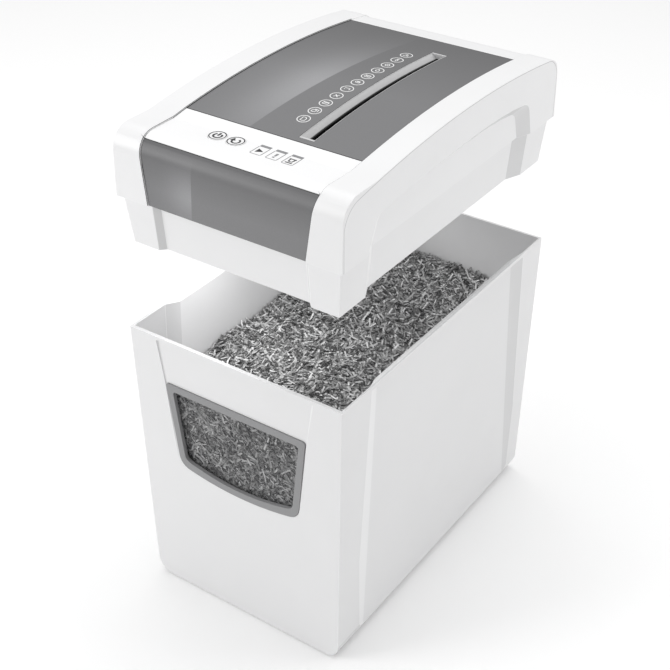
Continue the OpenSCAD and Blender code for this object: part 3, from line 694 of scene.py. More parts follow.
TOP_PANEL = GraphicPanel("top graphic panel", (0.175, 0.175, 0.18), 0.42, along=Axis.Y,
                         line=(-18.6 * MM, 0.062, 0.1), glow=(0.32, 0.32, 0.33),
                         glow_at=-25 * MM, glow_length=95 * MM, glow_width=40 * MM,
                         field_colour=(0.175, 0.175, 0.18), shade_from=-10 * MM,
                         shade_to=150 * MM, shade=0.42, joint_shadow_from=-120.2 * MM)
FRONT_PANEL = GraphicPanel("front graphic panel", (0.20, 0.20, 0.205), 0.42, along=Axis.Z,
                           line=(-37 * MM - 0.02 * HEAD_Z, 0.02, 0.0),
                           glow=(0.31, 0.31, 0.32), field_colour=(0.185, 0.185, 0.19),
                           glow_at=HEAD_Z + 24 * MM, glow_length=24 * MM, glow_width=26 * MM,
                           shade_from=HEAD_Z + 20 * MM, shade_to=HEAD_Z + 62 * MM, shade=0.35,
                           joint_shadow_to=HEAD_Z + 61.0 * MM)
ZINC = BrushedMetal("zinc plated sheet", (0.58, 0.60, 0.63), 0.36, lay=Axis.X)
BRIGHT_STEEL = BrushedMetal("bright drawn steel", (0.66, 0.66, 0.68), 0.24)
SCREW_STEEL = BrushedMetal("blackened screw steel", (0.22, 0.22, 0.23), 0.38, lay=Axis.Z)
GEAR_STEEL = BrushedMetal("sintered gear steel", (0.36, 0.35, 0.34), 0.45, stain=0.2)
BRONZE = BrushedMetal("sintered bronze", (0.55, 0.36, 0.16), 0.42)
BRASS = BrushedMetal("turned brass", (0.78, 0.58, 0.26), 0.25)
MOTOR_STEEL = BrushedMetal("motor case steel", (0.30, 0.31, 0.33), 0.40, metallic=0.9)
LEFT_CUTTER = OiledCutterSteel("left cutter steel", (0.22, 0.22, 0.24), 0.34,
                               axis=(17 * MM, HEAD_Z + 12 * MM))
RIGHT_CUTTER = OiledCutterSteel("right cutter steel", (0.22, 0.22, 0.24), 0.34,
                                axis=(51 * MM, HEAD_Z + 12 * MM))
ROTOR = WoundRotor("wound rotor", (0.30, 0.30, 0.32), 0.4, middle=70 * MM)
BOARD_GREEN = CircuitLaminate("green circuit laminate", (0.03, 0.17, 0.07), 0.35)
PANE = SmokedPane("smoked window pane", (0.12, 0.12, 0.125), 0.12)
SHREDS = ShredStock("shredded office paper", (0.88, 0.88, 0.88), 0.75)
# Dark grey as painted shade deep in the pile of paper.
PACKED = PackedShreds("packed shreds", (0.16, 0.16, 0.16), 0.85)
WHITE_INK = PrintInk("white ink", (0.88, 0.88, 0.88), 0.5)
DARK_INK = PrintInk("dark grey ink", (0.03, 0.03, 0.033), 0.5)
PALE_INK = PrintInk("pale grey ink", (0.24, 0.24, 0.25), 0.5)
FLOOR = StudioSweep("pale studio floor", (0.98, 0.98, 0.98), 0.9)


# ---------- meshes ----------


def new_piece(name: str, mesh: bpy.types.Mesh, finish: Finish,
              smooth: Optional[float] = 35.0) -> bpy.types.Object:
    """Puts a finished mesh in the scene.

    Args:
        name: The piece's name.
        mesh: Its mesh, in place.
        finish: Its finish.
        smooth: Edges sharper than this many degrees stay crisp. None leaves the shading alone.

    Returns:
        The piece.
    """
    if smooth is not None:
        mesh.shade_smooth()
        mesh.set_sharp_from_angle(angle=math.radians(smooth))
    mesh.materials.clear()
    mesh.materials.append(finish.material())
    piece = bpy.data.objects.new(name, mesh)
    bpy.context.scene.collection.objects.link(piece)
    return piece


def place_piece(piece: bpy.types.Object, body: str, slot: str, stands_for: Sequence[str] = ()
                ) -> bpy.types.Object:
    """Hands a piece to its body.

    Args:
        piece: The piece.
        body: The body it rides on.
        slot: Not used.
        stands_for: Nodes that it is shown instead of.

    Returns:
        The piece.
    """
    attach(piece, body)
    if stands_for:
        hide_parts(*stands_for)
    log.info("%s: %d faces, on %s", piece.name, len(piece.data.polygons), body)
    return piece


def mesh_from(name: str, corners: Sequence[Sequence[float]], faces: Sequence[Sequence[int]],
              recalculate: bool = True) -> bpy.types.Mesh:
    """Makes a mesh with its faces pointing outwards.

    Args:
        name: The mesh's name.
        corners: Points.
        faces: Rings of point numbers.
        recalculate: Whether to turn the faces outwards.

    Returns:
        The mesh.
    """
    mesh = bpy.data.meshes.new(name)
    mesh.from_pydata([tuple(p) for p in corners], [], [tuple(f) for f in faces])
    if recalculate:
        shape = bmesh.new()
        shape.from_mesh(mesh)
        bmesh.ops.remove_doubles(shape, verts=shape.verts, dist=1e-7)
        bmesh.ops.recalc_face_normals(shape, faces=shape.faces)
        shape.to_mesh(mesh)
        shape.free()
    mesh.validate()
    return mesh


def applied(piece: bpy.types.Object) -> bpy.types.Mesh:
    """The mesh that a piece's modifiers make, as plain data.

    Args:
        piece: An object with modifiers.

    Returns:
        The mesh.
    """
    graph = bpy.context.evaluated_depsgraph_get()
    return bpy.data.meshes.new_from_object(piece.evaluated_get(graph), depsgraph=graph)


def opened(title: str, sockets: Sequence[tuple[str, str]]
           ) -> tuple[Graph, Callable[[str], Signal]]:
    """Starts a geometry tree.

    Args:
        title: The tree's name.
        sockets: Name and type of each input.

    Returns:
        The tree's graph, and a function that takes an input by its name.
    """
    tree = bpy.data.node_groups.new(title, "GeometryNodeTree")
    graph = Graph(tree)
    for name, kind in sockets:
        tree.interface.new_socket(name, in_out="INPUT", socket_type=kind)
    tree.interface.new_socket("Geometry", in_out="OUTPUT", socket_type="NodeSocketGeometry")
    given = graph.add("NodeGroupInput")

    def take(name: str) -> Signal:
        """An input of the tree."""
        return Signal(tree, given.outputs[name])

    return graph, take


def grown(name: str, source: bpy.types.Mesh, tree: bpy.types.NodeTree,
          values: Mapping[str, Value]) -> bpy.types.Mesh:
    """Runs a tree on a mesh.

    Args:
        name: Name of the object that carries the mesh meanwhile.
        source: The mesh.
        tree: The tree.
        values: Its inputs by name.

    Returns:
        The result as plain data.
    """
    holder = bpy.data.objects.new(name, source)
    bpy.context.scene.collection.objects.link(holder)
    modifier = holder.modifiers.new("grow", "NODES")
    modifier.node_group = tree
    for item in tree.interface.items_tree:
        if item.in_out == "INPUT" and item.name in values:
            modifier[item.identifier] = values[item.name]
    made = applied(holder)
    bpy.data.objects.remove(holder)
    return made


def turned(name: str, profile: Sequence[Point2], at: Vector, segments: int = 72
           ) -> bpy.types.Mesh:
    """A closed turned shape about a vertical line.

    Args:
        name: The mesh's name.
        profile: (radius, height) points from the top of the axis to its bottom.
        at: Where the axis meets height nought.
        segments: Steps in a full turn.

    Returns:
        The mesh.
    """
    corners, rings, faces = [], [], []
    for radius, height in profile:
        if radius < 1e-9:
            corners.append((at.x, at.y, at.z + height))
            rings.append([len(corners) - 1] * segments)
            continue
        start = len(corners)
        for step in range(segments):
            angle = 2 * math.pi * step / segments
            corners.append((at.x + radius * math.cos(angle), at.y + radius * math.sin(angle),
                            at.z + height))
        rings.append(list(range(start, start + segments)))
    for upper, lower in zip(rings, rings[1:]):
        for step in range(segments):
            ahead = (step + 1) % segments
            ring = [upper[step], upper[ahead], lower[ahead], lower[step]]
            ring = [p for i, p in enumerate(ring) if p != ring[i - 1]]
            if len(ring) > 2:
                faces.append(ring)
    return mesh_from(name, corners, faces)


def softened(node: str, name: str, finish: Finish, width: float, segments: int = 2,
             angle: float = 14.0) -> bpy.types.Object:
    """A copy of a node whose sharp edges are rounded off.

    Args:
        node: The node.
        name: The new piece's name.
        finish: Its finish.
        width: Width of the rounding.
        segments: Facets across the rounding.
        angle: Edges turning more than this many degrees are rounded.

    Returns:
        The piece.
    """
    shape = bmesh.new()
    shape.from_mesh(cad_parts[node].data)
    bmesh.ops.remove_doubles(shape, verts=shape.verts, dist=2e-6)
    bmesh.ops.dissolve_degenerate(shape, edges=shape.edges, dist=2e-6)
    bmesh.ops.dissolve_limit(shape, angle_limit=math.radians(0.6), verts=shape.verts,
                             edges=shape.edges, use_dissolve_boundaries=False)
    mesh = bpy.data.meshes.new(name)
    shape.to_mesh(mesh)
    shape.free()
    mesh.materials.clear()
    for _ in range(2):
        mesh.materials.append(finish.material())
    mesh.polygons.foreach_set("material_index", [0] * len(mesh.polygons))
    rough = bpy.data.objects.new(name + "_rough", mesh)
    bpy.context.scene.collection.objects.link(rough)
    bevel = rough.modifiers.new("rounding", "BEVEL")
    bevel.material = 1
    bevel.width = width
    bevel.segments = segments
    bevel.limit_method = "ANGLE"
    bevel.angle_limit = math.radians(angle)
    bevel.use_clamp_overlap = False
    bevel.miter_outer = "MITER_ARC"
    made = applied(rough)
    bpy.data.objects.remove(rough)
    # The rounded edges are kept as 'rim' and each face's painted shade by wall facing as 'slope',
    # for the finishes to paint highlights, shade and joint shadow with.
    rims = [float(face.material_index) for face in made.polygons]
    painted_wall_shades = [0.0 if rim else painted_wall_shade(face) for face, rim in zip(made.polygons, rims)]
    for attribute, values in (("rim", rims), ("slope", painted_wall_shades)):
        made.attributes.new(attribute, "FLOAT", "FACE").data.foreach_set("value", values)
    made.polygons.foreach_set("material_index", [0] * len(made.polygons))
    return new_piece(name, made, finish, angle)


def painted_wall_shade(face: bpy.types.MeshPolygon) -> float:
    """Painted shade for a face: how far a finish darkens it, by the way the wall of a hollow faces.

    Args:
        face: A face of the shell.

    Returns:
        One for a wall that turns to the front or right (painted shade), less than nought for one
        that turns away (painted highlight), and nought for a face that isn't a hollow's wall.
    """
    x, y, z = face.normal
    at = face.center
    # Larger amounts are painted shade too: the bin rim's upward faces, the head's side faces that
    # look down, and the side faces at the bin's front.
    if z > 0.9 and 0.32 < at.z < 0.33:
        return 3.0 if abs(at.x) > 116 * MM else 0.6
    if abs(x * y) > 0.1 and abs(z) < 0.6:
        towards = x > 0 if abs(y) > abs(x) else y < 0
        return 1.0 if towards else -0.8
    if abs(x * z) > 0.1 and abs(at.x) > 117 * MM and at.z > HEAD_Z + 8 * MM:
        return 1.6 if z < 0 else 0.0
    if abs(x) > 0.9 and at.y < -140 * MM and at.z < 0.33:
        return 0.9
    return 0.0


@dataclass
class MarkSheet:
    """Printed marks as thin closed films that follow a surface."""

    name: str
    height: Callable[[float, float], float]
    film: float = 0.12 * MM
    corners: list[tuple[float, float, float]] = field(default_factory=list)
    faces: list[tuple[int, ...]] = field(default_factory=list)

    def _pair(self, point: Point2) -> tuple[int, int]:
        """Adds a point on the film's top and the one below it.

        Args:
            point: Place in plan.

        Returns:
            The numbers of the two points.
        """
        x, y = point
        z = self.height(x, y)
        self.corners += [(x, y, z + self.film), (x, y, z - self.film)]
        return len(self.corners) - 2, len(self.corners) - 1

    def stroke(self, points: Sequence[Point2], width: float, closed: bool = False) -> None:
        """Draws a line.

        Args:
            points: The line's middle, in plan.
            width: Its width.
            closed: Whether its end meets its start.
        """
        count = len(points)
        stations = []
        for i, (x, y) in enumerate(points):
            before = points[i - 1] if closed or i else points[i]
            after = points[(i + 1) % count] if closed or i < count - 1 else points[i]
            along = Vector((after[0] - before[0], after[1] - before[1])).normalized()
            side = Vector((-along.y, along.x)) * (width / 2)
            stations.append((self._pair((x + side.x, y + side.y)),
                             self._pair((x - side.x, y - side.y))))
        for i in range(count if closed else count - 1):
            (a, a_low), (b, b_low) = stations[i]
            (d, d_low), (c, c_low) = stations[(i + 1) % count]
            self.faces += [(a, b, c, d), (a_low, d_low, c_low, b_low), (a, d, d_low, a_low),
                           (b, b_low, c_low, c)]
        if not closed:
            for (a, a_low), (b, b_low) in (stations[0], stations[-1]):
                self.faces.append((a, a_low, b_low, b))

    def patch(self, points: Sequence[Point2]) -> None:
        """Fills an outline.

        Args:
            points: The outline, in plan.
        """
        pairs = [self._pair(p) for p in points]
        self.faces.append(tuple(top for top, _ in pairs))
        self.faces.append(tuple(low for _, low in reversed(pairs)))
        for (a, a_low), (b, b_low) in zip(pairs, pairs[1:] + pairs[:1]):
            self.faces.append((a, a_low, b_low, b))

    def ring(self, at: Point2, radius: float, width: float, start: float = 0.0,
             sweep: float = 360.0, steps: int = 40) -> None:
        """Draws a circle or a part of one.

        Args:
            at: Its centre.
            radius: Radius of the line's middle.
            width: The line's width.
            start: Angle where it starts, in degrees from +X.
            sweep: How far it goes round.
            steps: Number of steps.
        """
        closed = abs(sweep) >= 360
        count = steps if closed else steps + 1
        self.stroke([(at[0] + radius * math.cos(math.radians(start + sweep * i / steps)),
                      at[1] + radius * math.sin(math.radians(start + sweep * i / steps)))
                     for i in range(count)], width, closed)

    def piece(self, finish: Finish) -> bpy.types.Object:
        """Makes the marks one piece.

        Args:
            finish: The ink.

        Returns:
            The piece.
        """
        mesh = mesh_from(self.name, self.corners, self.faces)
        return new_piece(self.name, mesh, finish, None)


@dataclass(frozen=True)
class Crown:
    """The surface of the cover's middle: a long arc that meets the front shoulder."""

    top: float = HEAD_Z + 77.5 * MM
    radius: float = 1150 * MM
    middle: float = 20 * MM
    front: float = -140 * MM
    shoulder_y: float = -170 * MM
    shoulder_z: float = HEAD_Z + 44.5 * MM
    shoulder_r: float = 22 * MM
    inset: float = 1.3 * MM

    def arc(self, y: float) -> float:
        """Height of the long arc at y."""
        flat = (self.radius - self.inset) ** 2 - (y - self.middle) ** 2
        return self.top - self.radius + math.sqrt(flat)

    def height(self, x: float, y: float) -> float:
        """Height of the surface.

        Args:
            x: Place across, which makes no difference.
            y: Place along.

        Returns:
            The height.
        """
        if y >= self.front:
            return self.arc(y)
        top = self.shoulder_z + self.shoulder_r - self.inset
        if y >= self.shoulder_y:
            share = (y - self.shoulder_y) / (self.front - self.shoulder_y)
            return top + share * (self.arc(self.front) - top)
        drop = self.shoulder_y - y
        reach = self.shoulder_r - self.inset
        return self.shoulder_z + math.sqrt(max(0.0, reach ** 2 - drop ** 2))


# ---------- bin ----------


@dataclass
class BinAssembly:
    """The open bin, its window frame and its pane."""

    edge: float = 0.35 * MM
    frame_edge: float = 0.3 * MM

    def build(self) -> None:
        """Makes and dresses the bin's pieces."""
        tub = softened("bin_tub", "bin_shell", BIN_WHITE, self.edge)
        place_piece(tub, "bin", "white_shell", ["bin_tub"])
        bezel = softened("window_bezel", "window_frame", FRAME_GREY, self.frame_edge)
        place_piece(bezel, "bin", "bezel_grey", ["window_bezel"])
        pane = softened("window_pane", "window_sheet", PANE, 0.2 * MM)
        place_piece(pane, "bin", "smoked_pane", ["window_pane"])


@dataclass
class ShredPile:
    """Shredded paper: a packed mass, and loose strips on its top and behind the window."""

    half: float = 115.7 * MM
    low: float = 2.8 * MM
    front: float = -183.6 * MM
    rear: float = 186.9 * MM
    shoulder: float = 239 * MM
    rise: float = 14 * MM
    bump: float = 5 * MM
    bank: float = 9 * MM
    corner: float = 17.5 * MM
    heel: float = 9 * MM
    across: int = 40
    along: int = 64
    strip_length: float = 15 * MM
    strip_width: float = 1.75 * MM
    strip_thick: float = 0.16 * MM
    seed: int = 7

    def top_height(self, x: float, y: float) -> float:
        """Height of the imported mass.

        Args:
            x: Place across.
            y: Place along.

        Returns:
            The height.
        """
        crown = 1.0 - (x / self.half) ** 2
        bank = self.bank * crown * math.exp(-((y - self.front) / (30 * MM)) ** 2)
        coarse = noise.noise(Vector((x * 22, y * 22, 1.7)))
        fine = noise.noise(Vector((x * 75, y * 75, 5.1)))
        return self.shoulder + self.rise * crown + bank + self.bump * (coarse + 0.5 * fine)

    def packed_mass(self) -> bpy.types.Object:
        """The mass that the loose strips lie on."""
        nx, ny = self.across, self.along

        def grid(i: int, j: int) -> tuple[float, float]:
            """Place of a grid point."""
            return (-self.half + 2 * self.half * i / nx,
                    self.front + (self.rear - self.front) * j / ny)

        corners, faces = [], []
        for j in range(ny + 1):
            for i in range(nx + 1):
                x, y = grid(i, j)
                corners.append((x, y, self.top_height(x, y)))
        row = nx + 1
        for j in range(ny):
            for i in range(nx):
                a = j * row + i
                faces.append((a, a + 1, a + row + 1, a + row))
        rim = ([i for i in range(nx + 1)] + [j * row + nx for j in range(1, ny + 1)]
               + [ny * row + i for i in range(nx - 1, -1, -1)]
               + [j * row for j in range(ny - 1, 0, -1)])
        levels = [210, 170, 130, 90, 50, 21, 14, 9, 5.5, 3.6, 2.8]
        loop = rim
        for level in levels:
            z = level * MM
            start = len(corners)
            for k in rim:
                x, y, _ = corners[k]
                side = max(0.0, self.corner - (z - self.low))
                pull_x = self.corner - math.sqrt(max(0.0, self.corner ** 2 - side ** 2))
                back = max(0.0, self.heel - (z - self.low))
                pull_y = self.heel - math.sqrt(max(0.0, self.heel ** 2 - back ** 2))
                x = max(-self.half + pull_x, min(self.half - pull_x, x))
                y = max(self.front + 1 * MM, min(self.rear - pull_y - 2 * MM, y))
                corners.append((x, y, z))
            ring = list(range(start, start + len(rim)))
            for k in range(len(rim)):
                ahead = (k + 1) % len(rim)
                faces.append((loop[k], ring[k], ring[ahead], loop[ahead]))
            loop = ring
        faces.append(tuple(reversed(loop)))
        return new_piece("packed_shreds", mesh_from("packed_shreds", corners, faces), PACKED, 180)

    def strip(self, name: str, bend: float, twist: float, length: float) -> bpy.types.Object:
        """One strip of paper, bent and twisted.

        Args:
            name: Its name.
            bend: How far its ends rise, in metres.
            twist: Twist from end to end, in radians.
            length: Its length.

        Returns:
            The strip.
        """
        stations = 3
        corners, faces = [], []
        for i in range(stations):
            share = 2 * i / (stations - 1) - 1
            turn = Matrix.Rotation(twist * share / 2, 3, "X")
            middle = Vector((share * length / 2, 0.0, bend * share * share))
            for y, z in ((1, 1), (-1, 1), (-1, -1), (1, -1)):
                spot = Vector((0.0, y * self.strip_width / 2, z * self.strip_thick / 2))
                corners.append(middle + turn @ spot)
        for i in range(stations - 1):
            for k in range(4):
                a, b = 4 * i + k, 4 * i + (k + 1) % 4
                faces.append((a, b, b + 4, a + 4))
        faces += [(3, 2, 1, 0), tuple(range(4 * stations - 4, 4 * stations))]
        return bpy.data.objects.new(name, mesh_from(name, corners, faces))

    def strip_stock(self) -> bpy.types.Collection:
        """The strips that the piles are made from."""
        stock = bpy.data.collections.new("strip stock")
        shapes = ((0.6, 0.3, 1.0), (-0.9, 0.7, 0.85), (1.3, -0.4, 1.1), (0.2, 1.1, 0.7),
                  (-0.3, -0.8, 1.2), (1.8, 0.2, 0.95))
        for number, (bend, twist, share) in enumerate(shapes):
            stock.objects.link(self.strip(f"strip_{number}", bend * MM, twist,
                                          self.strip_length * share))
        return stock

    @staticmethod
    def scatter_tree() -> bpy.types.NodeTree:
        """The tree that strews strips over a surface and presses them against walls."""
        sockets = (("Geometry", "NodeSocketGeometry"), ("Strips", "NodeSocketCollection"),
                   ("Strips per square metre", "NodeSocketFloat"), ("Tilt", "NodeSocketFloat"),
                   ("Lowest", "NodeSocketFloat"), ("Highest", "NodeSocketFloat"),
                   ("Seed", "NodeSocketInt"), ("Inner corner", "NodeSocketVector"),
                   ("Outer corner", "NodeSocketVector"), ("Paper", "NodeSocketMaterial"))
        graph, take = opened("strewn strips", sockets)
        tree = graph.tree
        spread = graph.add("GeometryNodeDistributePointsOnFaces", {"distribute_method": "RANDOM"},
                           {"Mesh": take("Geometry"), "Density": take("Strips per square metre"),
                            "Seed": take("Seed")})
        normal = Signal(tree, spread.outputs["Normal"])
        depth = graph.add("FunctionNodeRandomValue", {"data_type": "FLOAT"},
                          {2: take("Lowest"), 3: take("Highest"), "Seed": 3})
        lift = graph.out("ShaderNodeVectorMath", {"operation": "SCALE"},
                         {0: normal, "Scale": Signal(tree, depth.outputs[1])})
        points = graph.out("GeometryNodeSetPosition", None,
                           {"Geometry": Signal(tree, spread.outputs["Points"]), "Offset": lift})
        tilt = take("Tilt")
        low = graph.out("ShaderNodeCombineXYZ", None, {0: -tilt, 1: -tilt, 2: 0.0})
        high = graph.out("ShaderNodeCombineXYZ", None, {0: tilt, 1: tilt, 2: 2 * math.pi})
        turn = graph.add("FunctionNodeRandomValue", {"data_type": "FLOAT_VECTOR"},
                         {0: low, 1: high, "Seed": 5})
        turned_by = graph.out("FunctionNodeEulerToRotation", None,
                              {0: Signal(tree, turn.outputs[0])})
        facing = graph.out("FunctionNodeRotateRotation", {"rotation_space": "LOCAL"},
                           {0: Signal(tree, spread.outputs["Rotation"]), 1: turned_by})
        size = graph.add("FunctionNodeRandomValue", {"data_type": "FLOAT"},
                         {2: 0.75, 3: 1.15, "Seed": 11})
        stock = graph.out("GeometryNodeCollectionInfo", None,
                          {"Collection": take("Strips"), "Separate Children": True,
                           "Reset Children": True})
        laid = graph.out("GeometryNodeInstanceOnPoints", None,
                         {"Points": points, "Instance": stock, "Pick Instance": True,
                          "Rotation": facing, "Scale": Signal(tree, size.outputs[1])})
        tone = graph.add("FunctionNodeRandomValue", {"data_type": "FLOAT"},
                         {2: 0.0, 3: 1.0, "Seed": 17})
        toned = graph.out("GeometryNodeStoreNamedAttribute",
                          {"data_type": "FLOAT", "domain": "INSTANCE"},
                          {"Geometry": laid, "Name": "tone",
                           "Value": Signal(tree, tone.outputs[1])})
        whole = graph.out("GeometryNodeRealizeInstances", None, {0: toned})
        here = graph.out("GeometryNodeInputPosition")
        kept = graph.out("ShaderNodeVectorMath", {"operation": "MAXIMUM"},
                         {0: here, 1: take("Inner corner")})
        kept = graph.out("ShaderNodeVectorMath", {"operation": "MINIMUM"},
                         {0: kept, 1: take("Outer corner")})
        pressed = graph.out("GeometryNodeSetPosition", None, {"Geometry": whole, "Position": kept})
        done = graph.out("GeometryNodeSetMaterial", None,
                         {"Geometry": pressed, "Material": take("Paper")})
        graph.add("NodeGroupOutput", None, {0: done})
        return tree

    def strewn(self, name: str, source: bpy.types.Mesh, tree: bpy.types.NodeTree,
               values: Mapping[str, Value]) -> bpy.types.Object:
        """Runs the tree on a surface.

        Args:
            name: The new piece's name.
            source: The surface.
            tree: The tree.
            values: Its inputs by name.

        Returns:
            The strips as one plain mesh.
        """
        return new_piece(name, grown(name + "_source", source, tree, values), SHREDS, None)

    def sheet(self, name: str, x: Point2, y: Point2, cells: tuple[int, int]) -> bpy.types.Mesh:
        """A part of the mass's top as an open surface for strips to lie on.

        Args:
            name: The mesh's name.
            x: Its span across.
            y: Its span along.
            cells: Cells across and along.

        Returns:
            The surface.
        """
        nx, ny = cells
        corners = []
        for j in range(ny + 1):
            for i in range(nx + 1):
                px = x[0] + (x[1] - x[0]) * i / nx
                py = y[0] + (y[1] - y[0]) * j / ny
                corners.append((px, py, self.top_height(px, py)))
        faces = [(j * (nx + 1) + i, j * (nx + 1) + i + 1, (j + 1) * (nx + 1) + i + 1,
                  (j + 1) * (nx + 1) + i) for j in range(ny) for i in range(nx)]
        return mesh_from(name, corners, faces, recalculate=False)

    def window_sheet(self) -> bpy.types.Mesh:
        """The plane just behind the window that strips are pressed against."""
        y_low, y_high = -184.2 * MM, -185.3 * MM
        corners = [(-84 * MM, y_low, 158 * MM), (84 * MM, y_low, 158 * MM),
                   (84 * MM, y_high, 272 * MM), (-84 * MM, y_high, 272 * MM)]
        return mesh_from("window_source", corners, [(0, 1, 2, 3)], recalculate=False)

    def build(self) -> None:
        """Makes and dresses the paper."""
        place_piece(self.packed_mass(), "bin", "shredded_paper", ["shred_heap"])
        stock, tree = self.strip_stock(), self.scatter_tree()
        walls = {"Inner corner": (-117.2 * MM, -186.3 * MM, 0.15), "Paper": SHREDS.material(),
                 "Outer corner": (117.2 * MM, 190.0 * MM, 0.268), "Strips": stock}
        inner = 114 * MM
        cuts = (-184 * MM, -62 * MM, 62 * MM, 186 * MM)
        for number, name in enumerate(("front", "middle", "rear")):
            name = "loose_shreds_" + name
            source = self.sheet(name + "_surface", (-inner, inner), cuts[number:number + 2],
                                (24, 14))
            strips = self.strewn(name, source, tree, {
                **walls, "Strips per square metre": 300000.0, "Tilt": 0.42,
                "Seed": self.seed + number, "Lowest": -1.5 * MM, "Highest": 4.5 * MM})
            place_piece(strips, "bin", "shredded_paper")
        pressed = self.strewn("window_shreds", self.window_sheet(), tree, {
            **walls, "Strips per square metre": 400000.0, "Tilt": 0.22, "Seed": self.seed + 3,
            "Lowest": -6.0 * MM, "Highest": 0.0, "Outer corner": (117.2 * MM, 190.0 * MM, 0.271)})
        place_piece(pressed, "bin", "shredded_paper")


# ---------- head ----------


@dataclass
class HeadShell:
    """The cover, the panels set in it, the feed throat and the skirt below."""

    cover_edge: float = 0.35 * MM
    panel_edge: float = 0.4 * MM
    throat_edge: float = 0.15 * MM

    def build(self) -> None:
        """Makes and dresses the shell's pieces."""
        rows = (("top_cover", "cover_shell", SHELL_WHITE, self.cover_edge, "white_shell"),
                ("lower_housing", "skirt_shell", SKIRT_WHITE, self.cover_edge, "white_shell"),
                ("top_panel", "feed_panel", TOP_PANEL, self.panel_edge, "dark_panel"),
                ("front_panel", "nose_panel", FRONT_PANEL, self.panel_edge, "dark_panel"),
                ("control_panel", "control_strip", STRIP_WHITE, self.throat_edge, "white_shell"),
                ("feed_throat", "throat_block", THROAT_GREY, self.throat_edge, "throat_grey"))
        for node, name, finish, edge, slot in rows:
            place_piece(softened(node, name, finish, edge), "head", slot, [node])


class Pictogram(Enum):
    """The row of generic pictograms beside the feed slot, as strokes on a unit square."""

    SHEET = (((-.6, -.8), (-.6, .8), (.2, .8), (.6, .4), (.6, -.8), (-.6, -.8)),)
    SHEETS = (((-.8, -.6), (-.8, .4), (.3, .4), (.3, -.6), (-.8, -.6)),
              ((-.4, .7), (.8, .7), (.8, -.3)))
    CARD = (((-.8, -.5), (-.8, .5), (.8, .5), (.8, -.5), (-.8, -.5)), ((-.8, .2), (.8, .2)))
    CROSS = (((-.6, -.6), (.6, .6)), ((-.6, .6), (.6, -.6)))
    STAPLE = (((-.7, -.4), (-.7, .4), (.7, .4), (.7, -.4)),)
    CLIP = (((.5, .6), (-.5, .6), (-.7, .2), (-.5, -.2), (.6, -.2), (.7, .1), (.5, .3),
             (-.3, .3)),)
    LETTER = (((-.8, -.5), (-.8, .5), (.8, .5), (.8, -.5), (-.8, -.5)),
              ((-.8, .5), (0, -.1), (.8, .5)))
    DROP = (((0, .8), (-.5, 0), (-.4, -.5), (0, -.7), (.4, -.5), (.5, 0), (0, .8)),)
    DISC = (((.7, 0), (.35, .6), (-.35, .6), (-.7, 0), (-.35, -.6), (.35, -.6), (.7, 0)),
            ((.15, 0), (-.1, .12), (-.1, -.12), (.15, 0)))
    TIE = (((-.3, .8), (.3, .8), (.1, .4), (.35, -.4), (0, -.8), (-.35, -.4), (-.1, .4),
            (-.3, .8)),)
    ALERT = (((0, .75), (-.8, -.6), (.8, -.6), (0, .75)), ((0, .25), (0, -.25)))


